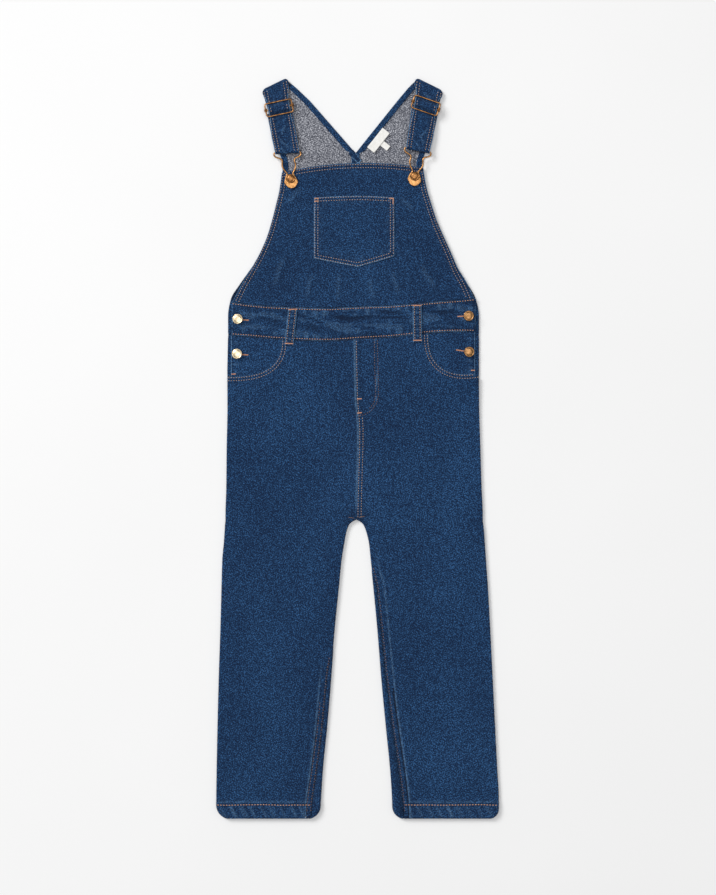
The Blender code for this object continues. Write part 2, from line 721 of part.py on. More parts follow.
def make_slider(side):
    """A rectangle of wire with a centre bar whose ends are wound round its sides."""
    turn = STRAPS[side][4]
    out_point, in_point = strap_line(side, SLIDER_PLACE, turn)
    middle = (out_point + in_point) / 2
    half_width, half_height = SLIDER_SIZE[0] / 2, SLIDER_SIZE[1] / 2
    along = np.array((math.cos(math.radians(turn)), math.sin(math.radians(turn))))
    up = np.array((-along[1], along[0]))
    points = []
    for x, y in ((1, 1), (-1, 1), (-1, -1), (1, -1)):
        ends = [
            (half_width, half_height - SLIDER_CORNER),
            (half_width - SLIDER_CORNER, half_height),
        ]
        if x * y < 0:
            ends.reverse()
        for px, py in ends:
            points.append((*(middle + along * x * px + up * y * py), SLIDER_LEVEL))
    frame = wire(f"slider_{side}", points, WIRE, "copper_wire")
    for point in frame.data.splines[0].bezier_points:
        point.handle_left_type = point.handle_right_type = "VECTOR"
    bpy.context.view_layer.update()
    frame = curve_to_mesh(frame)
    centre = (*middle, SLIDER_LEVEL)
    rods = [make_rod(f"slider_bar_{side}", 2 * half_width, WIRE, 8, centre, turn, False)]
    for end in (-1, 1):
        spot = (*(middle + along * end * half_width), SLIDER_LEVEL)
        name = f"slider_coil_{side}_{end}"
        rods.append(make_rod(name, COIL_LENGTH, COIL_RADIUS, 10, spot, turn, True))
    for rod in rods:
        join = frame.modifiers.new(rod.name, "BOOLEAN")
        join.operation = "UNION"
        join.object = rod
    frame.data.materials.clear()
    frame.data.materials.append(finishes["copper_wire"])


def hook_frame(side):
    """The middle of the hook's bar in the strap's loop, and the directions along it and down."""
    out_point, in_point = strap_line(side, WIRE + GAP + STRAP)
    along = (in_point - out_point) / np.linalg.norm(in_point - out_point)
    turn = math.radians(HOOK_TURNS[side])
    return (out_point + in_point) / 2, along, np.array((math.sin(turn), -math.cos(turn)))


def make_hook(side):
    """A bib hook bent from one wire: bar, arms, neck and the ring that slips over the button."""
    middle, across, down = hook_frame(side)
    right = HOOK_OUTLINE[1:-1]
    outline = HOOK_OUTLINE + [(-u, v) for u, v in reversed(right)]
    points = [(*(middle + across * u + down * v), HOOK_LEVEL) for u, v in outline]
    wire(f"hook_{side}", points, WIRE, "aged_brass")


def make_hook_plate(side):
    """The stamped crescent on the hook's ring, below the button."""
    middle, across, down = hook_frame(side)
    inner_radius = BIB_BUTTON_RADIUS + 0.8
    outline = []
    for radius, centre, angles in (
        (HOOK_PLATE_RADIUS, HOOK_PLATE_MIDDLE, np.linspace(-15, 195, 17)),
        (inner_radius, HOOK_TO_BUTTON, np.linspace(165, 15, 11)),
    ):
        for angle in np.radians(angles):
            outline.append((radius * math.cos(angle), centre + radius * math.sin(angle)))
    curve = bpy.data.curves.new(f"hook_plate_{side}", "CURVE")
    curve.dimensions = "2D"
    curve.fill_mode = "BOTH"
    curve.extrude = HOOK_PLATE / 2 * MM
    spline = curve.splines.new("POLY")
    spline.points.add(len(outline) - 1)
    for point, (u, v) in zip(spline.points, outline):
        spot = middle + across * u + down * v
        point.co = (spot[0] * MM, spot[1] * MM, 0, 1)
    spline.use_cyclic_u = True
    plate = add_object(f"hook_plate_{side}", curve, finishes["aged_brass"])
    plate.location.z = (HOOK_LEVEL + WIRE + GAP + HOOK_PLATE / 2) * MM


def make_button(name, x, y, base, radius, lift=1.0):
    """A shank button, turned from its profile: foot, shank and a flat head with a raised rim."""
    bm = bmesh.new()
    rim = [(r * radius, h * radius * lift) for r, h in BUTTON_PROFILE]
    verts = [bm.verts.new((r * MM, 0, h * MM)) for r, h in reversed(rim)]
    verts.append(bm.verts.new((0, 0, 0)))
    for start, end in zip(verts, verts[1:]):
        bm.edges.new((start, end))
    mesh = bpy.data.meshes.new(name)
    bm.to_mesh(mesh)
    bm.free()
    obj = add_object(name, mesh, finishes["aged_brass"])
    obj.location = (x * MM, y * MM, base * MM)
    turned = obj.modifiers.new("turned", "SCREW")
    turned.steps = turned.render_steps = 20
    turned.use_merge_vertices = True
    turned.merge_threshold = 0.00001
    turned.use_smooth_shade = True


def make_bib_button(side):
    middle, _, down = hook_frame(side)
    spot = middle + down * HOOK_TO_BUTTON
    base = FRONT + CLOTH / 2 + GAP
    make_button(f"bib_button_{side}", *spot, base, BIB_BUTTON_RADIUS, 1.5)


def make_label(name, x, y, width, length, underside):
    bpy.ops.mesh.primitive_cube_add(size=1)
    label = bpy.context.object
    label.name = label.data.name = name
    label.data.materials.append(finishes["woven_label"])
    for vertex in label.data.vertices:
        vertex.co.x *= width * MM
        vertex.co.y *= length * MM
        vertex.co.z *= LABEL * MM
    label.location = (x * MM, y * MM, (underside + LABEL / 2) * MM)
    label.rotation_euler.z = math.radians(LABEL_TURN)
    for collection in list(label.users_collection):
        collection.objects.unlink(label)
    dungarees.objects.link(label)


clear_scene()
dungarees = new_collection("kids_dungarees")
helpers = new_collection("helpers")
finishes = {name: make_finish(name, *values) for name, values in FINISHES.items()}
scoop_points = {side: scoop(side, 0, 25) for side in POCKET_SCOOPS}

for hand in ("left", "right"):
    make_back(hand)
    make_back_leg(hand)
    make_front_leg(hand)
    make_facing(hand)
    make_belt_loop(hand)
    make_strap(hand)
    make_slider(hand)
    make_hook(hand)
    make_hook_plate(hand)
    make_bib_button(hand)
make_waistband()
make_bib()
make_bib_pocket()
for button, (button_x, button_y, cloth_top) in SIDE_BUTTONS.items():
    make_button(button, button_x, button_y, cloth_top + GAP, BUTTON_RADIUS)
for label_name, sizes in NECK_LABEL.items():
    make_label(label_name, *sizes)
helpers.hide_render = True
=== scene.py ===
# %% [markdown]
# # Kids' denim dungarees, laid flat
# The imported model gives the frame: where every panel, strap and buckle lies. This lesson dresses
# it. Each panel becomes a thin sheet of cloth with its creases, turned edges and topstitching,
# and each buckle becomes bent wire and stamped brass.

# %% Load the frame
import math

import bmesh
import bpy
import numpy as np
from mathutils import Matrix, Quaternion, Vector
from mathutils.bvhtree import BVHTree


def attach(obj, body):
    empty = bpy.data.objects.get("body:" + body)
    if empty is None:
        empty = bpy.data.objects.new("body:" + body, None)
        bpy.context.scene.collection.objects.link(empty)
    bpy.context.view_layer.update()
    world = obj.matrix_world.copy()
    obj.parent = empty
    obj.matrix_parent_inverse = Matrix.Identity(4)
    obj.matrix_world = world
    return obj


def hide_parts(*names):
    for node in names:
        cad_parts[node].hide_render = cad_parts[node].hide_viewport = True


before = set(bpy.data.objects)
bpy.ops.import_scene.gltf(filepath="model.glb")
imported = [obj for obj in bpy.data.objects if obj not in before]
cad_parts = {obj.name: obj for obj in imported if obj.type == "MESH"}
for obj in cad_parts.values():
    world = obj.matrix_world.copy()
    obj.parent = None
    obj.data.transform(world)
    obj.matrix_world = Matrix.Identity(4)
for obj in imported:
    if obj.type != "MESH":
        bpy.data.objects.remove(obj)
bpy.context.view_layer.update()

MM = 0.001

# %% [markdown]
# ## The sizes of the pattern
# A cutter works from a table of measurements. These are the same tables that the solid model was
# made from, in millimetres, so every sheet lands on its own solid. +X is the right of someone who
# looks down at the garment, +Y runs from the hems to the shoulders and heights are those of the
# middle of a layer of cloth.

# %% Layers, hems and seams
SIDES = ("left", "right")
FACING = {"left": -1, "right": 1}    # which way the outside of each side faces
CLOTH = 1.2
GAP = 0.3
STEP = CLOTH + GAP                   # from one layer to the one that lies on it
GROUND = CLOTH / 2                   # the layer that lies on the surface
TURNED = GROUND + STEP               # a hem or button stand turned in over it
FRONT = TURNED + STEP                # the front panels
SEAM = 0.5
SEAM_HALF = 0.03                     # stitches pull a seam shut, so no light comes through it
FOLD_SEAM = 0.45                     # from the middle of a side fold to the edge of each panel
HEM_FOOT = -463.3
LEG_HEM = 19
HEM_RAMP = 8
CORNERS = {"left": (17, 16), "right": (12, 15)}  # radius of the outside and inside lower corner
CROTCH = -91
HIP = 50                             # above this row the front of a leg fans out to the waist
SIDE_SEAM_TOP = 89
BACK_WAIST = 141
BACK_CENTRE = -2.5
NECK_FOOT = 369
NECK_HEM = 7
CENTRE_ALLOWANCE = 5
BUTTON_STAND = 24                    # what is turned in along the side openings
STAND_TOP = 186
STAND_FOOT = 89.6
BAND = 2.6
BAND_ENDS = (-157, 147.5)
OPENING_EDGE = 5                     # from the side of the garment to the edge of the front
STRAP = 1.4
WIRE = 0.9
SLIDER_LEVEL = 7.3
SLIDER_SIZE = (33.8, 16.3)
SLIDER_PINCH = 1.2                   # how far each edge of the strap is drawn in by the slider
SLIDER_PLACE = 58                    # from the end of the strap to the slider's middle bar
HOOK_LEVEL = 5.7
HOOK_TO_BUTTON = 34
BUTTON_RADIUS = 6.4
BIB_BUTTON_RADIUS = 5.4

# %% Tables of the pattern
LEG_ROWS = [
    # y, left outside, left inside, right inside, right outside, left inseam, right inseam
    (BACK_WAIST, -162.0, None, None, 152.0, 0, 0),
    (118, -162.5, None, None, 152.0, 0, 0),
    (STAND_FOOT, -163.0, None, None, 152.0, 0, 0),
    (SIDE_SEAM_TOP, -163.0, None, None, 152.0, 0, 0),
    (50, -163.0, None, None, 152.5, 0, 0),
    (0, -164.0, None, None, 154.0, 0, 0),
    (-50, -164.5, None, None, 155.5, 0, 0),
    (-84, -165.5, None, None, 157.0, 0, 0),
    (-88.5, -165.5, None, None, 157.0, 0, 0),
    (CROTCH, -165.5, -5.2, 2.2, 157.0, 0, 0),
    (-95, -166.0, -9.5, 6.5, 157.5, 0, 0),
    (-103, -166.5, -13.0, 10.0, 158.5, 0, 0),
    (-118, -167.5, -16.0, 13.8, 159.5, 0, 0),
    (-140, -169.5, -19.5, 16.2, 161.0, 0, 0),
    (-175, -170.5, -23.0, 19.8, 163.5, 0, 4.5),
    (-230, -172.0, -28.5, 25.0, 166.5, 0, 5.0),
    (-290, -174.0, -33.0, 29.8, 169.5, 5.0, 6.5),
    (-350, -175.5, -38.0, 35.5, 172.5, 5.5, 8.5),
    (-400, -176.5, -43.0, 40.5, 175.0, 7.0, 11.0),
    (-437, -177.0, -45.5, 43.0, 177.0, 10.0, 13.0),
    (-446, -177.0, -46.0, 43.3, 177.0, 10.5, 13.5),
    (HEM_FOOT, -177.0, -46.0, 43.5, 177.0, 11.0, 14.0),
]
LEG_COLUMNS = {"left": (1, 2, 5), "right": (4, 3, 6)}  # outside, inside, inseam
CENTRE_SEAM = [(-90, -1.5), (-55, -0.8), (20, 1.0), (67, -2.0), (BACK_WAIST, -3.5)]  # y, x
BACK_ROWS = [
    # left outside, right outside, y outside, left inside, right inside, y inside
    (-162.0, 152.0, BACK_WAIST, BACK_CENTRE, BACK_CENTRE, BACK_WAIST),
    (-162.0, 152.0, 165, BACK_CENTRE, BACK_CENTRE, 165),
    (-158.5, 148.0, STAND_TOP, BACK_CENTRE, BACK_CENTRE, STAND_TOP),
    (-147.0, 137.5, 205, BACK_CENTRE, BACK_CENTRE, 205),
    (-135.0, 126.5, 222, BACK_CENTRE, BACK_CENTRE, 222),
    (-120.0, 114.5, 245, BACK_CENTRE, BACK_CENTRE, 245),
    (-105.5, 97.0, 285, BACK_CENTRE, BACK_CENTRE, 285),
    (-96.5, 85.0, 325, BACK_CENTRE, BACK_CENTRE, 325),
    (-93.5, 80.5, 353, BACK_CENTRE, BACK_CENTRE, 353),
    (-97.3, 84.4, 368.8, -2.7, -2.3, 368.8),
    (-102.0, 89.0, 385, -16.7, 10.5, 385),
    (-108.0, 95.6, 407.5, -39.4, 31.3, 411),
    (-113.0, 100.9, 425.5, -59.5, 49.7, 434),
    (-116.7, 104.2, 438, -81.4, 67.3, 455),
]
BACK_COLUMNS = {"left": (0, 3), "right": (1, 4)}       # outside, inside
WAIST = [
    # x, top edge, bottom edge
    (-162, 183.0, 141.0), (-138, 179.5, 139.5), (-103, 176.5, 136.5), (-38, 174.5, 134.0),
    (3, 176.5, 136.5), (38, 177.5, 138.5), (68, 180.0, 141.5), (98, 182.5, 144.5),
    (128, 185.0, 145.5), (152, 187.5, 145.0),
]
BIB_ROWS = [
    # y, left, right
    (179, -156.5, 146.0), (205, -144.0, 135.0), (222, -134.0, 125.5), (245, -121.5, 116.0),
    (265, -113.0, 107.0), (285, -107.0, 98.5), (305, -102.0, 92.0), (325, -97.5, 86.0),
    (347.5, -94.5, 82.0),
]
BIB_TOP_BOW = 8.5
BIB_TOP_TILT = 3
POCKET_SCOOPS = {
    # side: start x on the waist seam, its y, depth, rise of the end at the side
    "left": (-94.5, 137, 48, 0),
    "right": (88.5, 144, 55, 4.5),
}
POCKET_ROUNDNESS = 2.7
POCKET_UNDERLAP = 6
POCKET_EASE = (15, 30)               # the panel over the facing is raised as far as this
BIB_POCKET = [
    # x, top edge, bottom edge
    (-54.4, 312.9, 237.1), (-28, 314.2, 231.6), (0.1, 315.0, 226.3), (24, 314.4, 233.0),
    (46, 312.9, 239.8),
]
BELT_LOOPS = {
    # side: top x, top y, foot x, foot y
    "left": (-80.6, 175, -85.6, 128),
    "right": (74.4, 180, 75.0, 132),
}
BELT_LOOP_WIDTH = 11
BELT_LOOP_LEVEL = 6.7
STRAPS = {
    # side: fold outside, fold inside, end outside, end inside, slider's turn in degrees
    "left": ((-119.4, 448.1), (-88.1, 463.4), (-102.6, 366.8), (-72.5, 368.4), 12),
    "right": ((106.9, 447.0), (73.4, 463.5), (89.8, 367.8), (60.6, 373.4), -19),
}
HOOK_TURNS = {"left": 7.6, "right": -7}    # degrees that each hook hangs from straight down
HOOK_OUTLINE = [
    # half width, distance below the bar
    (0, 0), (12, 0), (16.6, 0.8), (17.2, 4.4), (14.2, 6.8), (8.4, 8.8), (7.2, 11.5), (8.8, 17),
    (7.4, 21.8), (2.9, 28.4), (5.4, 31.6), (7.3, 36.5), (6.4, 41.6), (3.2, 45), (0, 45.6),
]
HOOK_PLATE_MIDDLE = 37
HOOK_PLATE_RADIUS = 8.9
SIDE_BUTTONS = {
    # name: x, y, top of the cloth beneath, how far it tips in degrees, and towards where
    "side_button_upper_left": (-149.4, 160.9, FRONT + BAND - CLOTH / 2, 7, 140),
    "side_button_lower_left": (-150.4, 117.5, FRONT + CLOTH / 2, 6, 150),
    "side_button_upper_right": (138.6, 165.0, FRONT + BAND - CLOTH / 2, 3, -20),
    "side_button_lower_right": (139.4, 120.1, FRONT + CLOTH / 2, 3, -30),
}
NECK_LABELS = {
    # name: middle x, middle y, width, length, height of its underside
    "neck_label": (26.1, 384.6, 11.2, 31.2, 3.0),
    "size_tab": (34.4, 378.2, 11.6, 7.2, 2.1),
}
LABEL = 0.6
LABEL_TURN = -38.5
FOLDS = [
    # x, y, half length, half width, direction in degrees, height
    (-62, 212, 30, 8, 82, 0.6), (-6, 204, 24, 7, 96, 0.5), (40, 209, 26, 8, 101, 0.5),
    (-112, 30, 60, 18, 86, 0.7), (96, 12, 64, 18, 95, 0.8), (-30, -66, 34, 9, 58, 0.7),
    (30, -70, 36, 9, 124, 0.7), (-120, -160, 66, 16, 92, 0.7), (118, -170, 58, 18, 84, 0.8),
    (-82, -268, 52, 14, 74, 0.8), (84, -288, 56, 15, 108, 0.8), (-132, -372, 50, 15, 84, 0.7),
    (132, -382, 46, 14, 97, 0.7),
]
print("pattern: %d leg rows, %d back rows, %d soft folds" % (
    len(LEG_ROWS), len(BACK_ROWS), len(FOLDS)))

# %% [markdown]
# ## Small tools
# A pattern table is read with a smooth curve through its rows, so that a hem or an armhole is
# drawn in one sweep. `line_distance` tells how far points are from a seam and how far along it
# they are, and everything sewn on a seam is placed with it: ridges, stitches and puckers.


# %% Curves, distances and unevenness
def smooth(t):
    """0 before 0, 1 past 1, and an even rise between them."""
    t = np.clip(t, 0.0, 1.0)
    return t * t * (3 - 2 * t)


def swept(at, known, values):
    """A smooth curve through (known, values), with no overshoot between its points."""
    known, values = np.asarray(known, float), np.asarray(values, float)
    gaps = np.diff(known)
    slopes = np.diff(values) / gaps
    same = slopes[:-1] * slopes[1:] > 0
    mean = 2 * slopes[:-1] * slopes[1:] / np.where(same, slopes[:-1] + slopes[1:], 1)
    tangents = np.concatenate((slopes[:1], np.where(same, mean, 0), slopes[-1:]))
    at = np.clip(at, known[0], known[-1])
    i = np.clip(np.searchsorted(known, at, "right") - 1, 0, len(gaps) - 1)
    t = (at - known[i]) / gaps[i]
    return (
        values[i] * (1 + 2 * t) * (1 - t) ** 2 + gaps[i] * tangents[i] * t * (1 - t) ** 2
        + values[i + 1] * t * t * (3 - 2 * t) + gaps[i] * tangents[i + 1] * t * t * (t - 1)
    )


def read(table, at, column):
    """A column of a table, read at values of its first column."""
    rows = sorted(row for row in table if row[column] is not None)
    return swept(at, [row[0] for row in rows], [row[column] for row in rows])


def blend(a, b, t):
    return np.asarray(a, float) * (1 - t) + np.asarray(b, float) * t


def unit(vector):
    return vector / np.linalg.norm(vector)


def heading(degrees):
    """The direction so many degrees from +X."""
    return np.array((math.cos(math.radians(degrees)), math.sin(math.radians(degrees))))


def left_of(direction):
    return np.array((-direction[1], direction[0]))


def runs_along(line):
    """How far along a line each of its points is."""
    return np.concatenate(([0], np.cumsum(np.linalg.norm(np.diff(line, axis=0), axis=1))))


def resample(line, step):
    """Points at an even step along a line."""
    line = np.asarray(line, float)
    runs = runs_along(line)
    at = np.linspace(0, runs[-1], max(int(round(runs[-1] / step)), 1) + 1)
    return np.column_stack([np.interp(at, runs, column) for column in line.T])


def offset_line(line, distance, step=3.0):
    """A line moved sideways to its left, in even steps."""
    line = resample(line, step)
    along = np.gradient(line, axis=0)
    along /= np.linalg.norm(along, axis=1)[:, None]
    return line + np.column_stack((-along[:, 1], along[:, 0])) * distance


def line_distance(line, x, y):
    """How far points are from a line, positive on its left, and how far along it they lie."""
    line = np.asarray(line, float)
    best, side, place, start = np.full(np.shape(x), 1e9), np.ones(np.shape(x)), 0.0 * x, 0.0
    for (ax, ay), (bx, by) in zip(line, line[1:]):
        dx, dy = bx - ax, by - ay
        length = math.hypot(dx, dy)
        t = np.clip(((x - ax) * dx + (y - ay) * dy) / length**2, 0, 1)
        distance = np.hypot(x - ax - t * dx, y - ay - t * dy)
        nearer = distance < best
        best = np.where(nearer, distance, best)
        side = np.where(nearer, np.where(dx * (y - ay) - dy * (x - ax) < 0, -1, 1), side)
        place = np.where(nearer, start + t * length, place)
        start += length
    return best * side, place


def uneven(along, period, seed=0):
    """A wandering value from -1 to 1, as a hand or a machine leaves along a seam."""
    turns = 2 * math.pi * np.asarray(along, float) / period
    return (0.5 * np.sin(turns + seed) + 0.3 * np.sin(1.63 * turns + 2.1 * seed + 1)
            + 0.2 * np.sin(2.71 * turns + 3.7 * seed + 2))


def rumple(x, y, size, seed, lean=None):
    """A gentle uneven surface from -1 to 1 whose waves are about `size` mm long."""
    draw = np.random.default_rng(seed)
    total = 0.0
    for _ in range(14):
        angle = (draw.uniform(0, math.pi) if lean is None
                 else math.radians(lean + draw.normal(0, 18)))
        wave = 2 * math.pi / (size * draw.uniform(0.65, 1.7))
        across = x * math.cos(angle) + y * math.sin(angle)
        total = total + np.sin(wave * across + draw.uniform(0, 6.3))
    return total / 5


def near(distance, width):
    """1 on a line, fading to 0 a few widths away."""
    return np.exp(-((distance / width) ** 2))


def plateau(distance, start, end, ramp=1.0):
    """1 between two distances from a line, 0 outside them."""
    return smooth((distance - start) / ramp + 0.5) * smooth((end - distance) / ramp + 0.5)


print("uneven seam sample:", np.round(uneven(np.arange(0, 40, 10), 12), 2))

# %% [markdown]
# ## Finishes
# Denim is a 3/1 twill: indigo warp threads float over white weft, so the right side is blue with
# pale flecks and the wrong side is nearly white with blue ones. The weave's diagonal has its real
# pitch of 1 mm. The flecks are drawn 1.6 mm long and a second diagonal 2.4 mm apart, coarser than
# real ones, because from this distance the eye runs them together. Where an edge is folded and
# rubbed, the white core of the warp shows. Where it is pressed into a crease or under a stitch, its
# colour is darkened: partly dye that has not faded, partly painted shade. The `wear_and_shade`
# attribute on each sheet says both: up to 1 is rubbed pale, down to -1 is darkened.


# %% Colours and a node helper
def linear(code):
    """An sRGB hex colour as linear light, with alpha."""
    channels = [int(code[i:i + 2], 16) / 255 for i in (1, 3, 5)]
    return (*[c / 12.92 if c <= 0.04045 else ((c + 0.055) / 1.055) ** 2.4 for c in channels], 1.0)


def node(tree, kind, inputs=(), **settings):
    """Add a node: settings are its properties, inputs its sockets' values or what feeds them."""
    made = tree.nodes.new(kind)
    for name, value in settings.items():
        setattr(made, name, value)
    for socket, value in dict(inputs).items():
        if isinstance(value, bpy.types.NodeSocket):
            tree.links.new(value, made.inputs[socket])
        else:
            made.inputs[socket].default_value = value
    return made


def new_material(name, constants):
    """A material with its tree and its shader, whose constants are set on the shader itself."""
    material = bpy.data.materials.new(name)
    material.use_nodes = True
    shader = material.node_tree.nodes["Principled BSDF"]
    for socket, value in constants.items():
        shader.inputs[socket].default_value = value
    return material, material.node_tree, shader


def feed(tree, shader, **links):
    """Link what feeds the shader's colour, roughness or normal."""
    for name, source in links.items():
        tree.links.new(source, shader.inputs[name.replace("_", " ")])


def spread(tree, place, scale, turn=0.0):
    """A place scaled and turned, in degrees."""
    return node(tree, "ShaderNodeMapping", {
        "Vector": place, "Rotation": (0, 0, math.radians(turn)), "Scale": scale,
    }).outputs[0]


def noise_at(tree, place, size, stretch=(1, 1, 1), detail=2.0, turn=0.0):
    """Noise whose blobs are about `size` mm across, stretched along an axis and turned."""
    return node(tree, "ShaderNodeTexNoise", {
        "Vector": spread(tree, place, [s / (size * MM) for s in stretch], turn),
        "Scale": 1.0, "Detail": detail, "Roughness": 0.55,
    }).outputs["Fac"]


def stripes(tree, place, pitch, waviness, way="X", **more):
    """Wavy stripes `pitch` mm apart, across a place that is in mm."""
    return node(tree, "ShaderNodeTexWave", {
        "Vector": place, "Scale": 0.314 / pitch, "Distortion": waviness,
        **{name.replace("_", " "): value for name, value in more.items()},
    }, wave_type="BANDS", bands_direction=way).outputs["Fac"]


def ramp(tree, value, low, high, start=0.0, end=1.0):
    """The value stretched so that low becomes start and high becomes end."""
    return node(tree, "ShaderNodeMapRange", {
        "Value": value, "From Min": low, "From Max": high, "To Min": start, "To Max": end,
    }, clamp=True).outputs[0]


def mix(tree, share, first, second):
    """Two colours mixed by a share."""
    return node(tree, "ShaderNodeMix", {0: share, 6: first, 7: second}, data_type="RGBA").outputs[2]


def maths(tree, operation, first, second):
    return node(tree, "ShaderNodeMath", {0: first, 1: second}, operation=operation).outputs[0]


def bump(tree, height, distance, strength):
    return node(tree, "ShaderNodeBump", {
        "Height": height, "Distance": distance, "Strength": strength}).outputs[0]


print("indigo as linear light:", np.round(linear("#0f2d4e")[:3], 3))

# %% Denim, right side and wrong side
FLECK = 1.6                          # mm, length of the pale flecks once they run together
SLUB = 6.0                           # mm, the thick and thin of the warp thread
TWILL = 1.0                          # mm, the pitch of the twill's diagonal
RIB = 2.4                            # mm, the same diagonal as the eye groups it from a distance


def make_denim(name, unfaded_dye_and_shade, deep, body, pale, worn, contrast):
    """Twill denim: warp colour, pale weft flecks, slubs, diagonal rib, rubbed edges, soft nap."""
    material, tree, shader = new_material(name, {
        "Roughness": 0.88, "IOR": 1.5, "Specular IOR Level": 0.18, "Sheen Weight": 0.06,
        "Sheen Roughness": 0.5,
    })
    place = node(tree, "ShaderNodeUVMap", uv_map="cloth").outputs[0]
    flecks = noise_at(tree, place, FLECK, (1.25, 0.8, 1), 3.0, 24)
    grain = noise_at(tree, place, FLECK * 0.8, (1, 1, 1), 1.0)
    slubs = noise_at(tree, place, SLUB, (1.4, 0.55, 1), 2.0)
    fade = noise_at(tree, place, 90, (1, 0.6, 1), 2.0)
    turned = spread(tree, place, [1 / MM] * 3, 63)
    rib = stripes(tree, turned, RIB, 1.2, Detail=1.0, Detail_Scale=0.6)
    weave = stripes(tree, turned, TWILL, 0.8, Detail=1.0)
    tone = ramp(tree, flecks, 0.5 - 0.22 / contrast, 0.5 + 0.22 / contrast, -0.08, 0.6)
    for layer, low, high, least, most in (
            (slubs, 0.34, 0.66, -0.02, 0.18), (grain, 0.38, 0.62, -0.09, 0.26),
            (rib, 0, 1, -0.07, 0.07), (weave, 0, 1, -0.13, 0.13), (fade, 0.35, 0.65, -0.07, 0.07)):
        tone = maths(tree, "ADD", tone, ramp(tree, layer, low, high, least, most))
    colour = mix(tree, ramp(tree, tone, 0.0, 0.5), linear(deep), linear(body))
    colour = mix(tree, ramp(tree, tone, 0.5, 1.0), colour, linear(pale))
    wear_and_shade = node(tree, "ShaderNodeAttribute", attribute_name="wear_and_shade").outputs["Fac"]
    rubbed = maths(tree, "MULTIPLY", wear_and_shade, ramp(tree, flecks, 0.36, 0.6, 0.35, 1.15))
    colour = mix(tree, ramp(tree, rubbed, 0, 1), colour, linear(worn))
    # Below 0 the colour turns to the darkest dye: partly unfaded dye, partly painted shade.
    colour = mix(tree, ramp(tree, wear_and_shade, -1, 0, 0.85, 0), colour, linear(unfaded_dye_and_shade))
    relief = maths(tree, "ADD", ramp(tree, flecks, 0.3, 0.7), ramp(tree, rib, 0, 1, 0, 0.5))
    feed(tree, shader, Base_Color=colour, Normal=bump(tree, relief, 0.00035, 0.55))
    return material


# Each is unfaded dye and painted shade, deep, body, pale flecks and rubbed edge, then how
# sharply the flecks show.
indigo_twill = make_denim("indigo_twill_right_side",
                          "#04132a", "#051836", "#0f2d4e", "#366395", "#7aa5cd", 2.5)
grey_twill = make_denim("indigo_twill_wrong_side",
                        "#2f323d", "#363944", "#73757e", "#d0d2d9", "#dcdee3", 2.1)
raw_twill = make_denim("indigo_twill_rubbed_edge",
                       "#0f2542", "#17365c", "#375c87", "#7aa2c8", "#a6c4de", 1.2)
print("denim: flecks %.1f mm, rib %.1f mm" % (FLECK, RIB))


# %% Thread, metal and label
def make_thread(name, shade, light):
    """Spun polyester topstitching thread: two plies twisted, soft and slightly glossy."""
    material, tree, shader = new_material(name, {"Roughness": 0.6, "Specular IOR Level": 0.3})
    twist = noise_at(tree, node(tree, "ShaderNodeTexCoord").outputs["Object"], 0.9, detail=1.0)
    feed(tree, shader,
         Base_Color=mix(tree, ramp(tree, twist, 0.35, 0.65), linear(shade), linear(light)))
    return material


def make_brass(name, dark, light, roughness, grime):
    """Plated brass: brushed by tumbling, darker where the lacquer has aged."""
    material, tree, shader = new_material(name, {"Metallic": 1.0})
    place = node(tree, "ShaderNodeTexCoord").outputs["Object"]
    patches = noise_at(tree, place, 3.2, (1, 1, 1), 3.0)
    scuffs = noise_at(tree, place, 0.7, (0.4, 1.6, 1), 2.0, 30)
    feed(tree, shader,
         Base_Color=mix(tree, ramp(tree, patches, 0.5 - grime, 0.62), linear(dark), linear(light)),
         Roughness=ramp(tree, scuffs, 0.3, 0.7, roughness - 0.07, roughness + 0.09),
         Normal=bump(tree, scuffs, 0.00002, 0.12))
    return material


def make_label_satin(name, shade, light):
    """Woven polyester satin: fine bright weft ribs 0.9 mm apart across the label."""
    material, tree, shader = new_material(name, {"Roughness": 0.55, "Sheen Weight": 0.1})
    place = node(tree, "ShaderNodeUVMap", uv_map="cloth").outputs[0]
    ribs = stripes(tree, spread(tree, place, [1 / MM] * 3), 0.9, 0.6, "Y")
    cloudy = noise_at(tree, place, 4.0)
    tone = maths(tree, "ADD", ramp(tree, ribs, 0, 1, 0, 0.5), ramp(tree, cloudy, 0.3, 0.7, 0, 0.5))
    feed(tree, shader, Base_Color=mix(tree, tone, linear(shade), linear(light)),
         Normal=bump(tree, ribs, 0.0001, 0.5))
    return material


tan_thread = make_thread("spun_thread_tan", "#b0937c", "#dcc0a8")
brown_thread = make_thread("spun_thread_brown", "#7d6150", "#a98770")
copper_thread = make_thread("spun_thread_copper", "#cf966c", "#f0c29c")
salmon_thread = make_thread("spun_thread_salmon", "#bb8161", "#dfa987")
navy_thread = make_thread("spun_thread_navy", "#14304f", "#2c5078")
aged_brass = make_brass("antique_brass_stamped", "#94693c", "#c99560", 0.34, 0.14)
dark_brass = make_brass("antique_brass_domed", "#7d5634", "#b5814f", 0.4, 0.12)
button_brass = make_brass("brass_button_tumbled", "#7d5c38", "#ad835a", 0.34, 0.14)
# A lighter copy of the tumbled brass: a painted highlight for the buttons that face the key light.
lit_brass_copy = make_brass("brass_button_painted_highlight", "#bda781", "#ead9b8", 0.3, 0.2)
copper_wire = make_brass("brass_wire_drawn", "#7d5634", "#bb8857", 0.34, 0.12)
label_satin = make_label_satin("polyester_satin_label", "#dcdad4", "#faf9f6")
print("thread, brass and satin: %d materials in all" % len(bpy.data.materials))

# %% [markdown]
# ## A sheet of denim
# Each panel is a grid of points on the middle of its cloth. Solidify gives it thickness, with the
# right side, the wrong side and the rubbed rim as three slots. Real cloth never ends in a square
# step, so the wall thins over its last millimetre and the rim rolls off. The size each panel was
# cut to, taken from the grid as it would lie opened out, is kept in a table.


# %% Making a sheet
sheets = {}                          # name: (width, length, area) of the cut, in mm


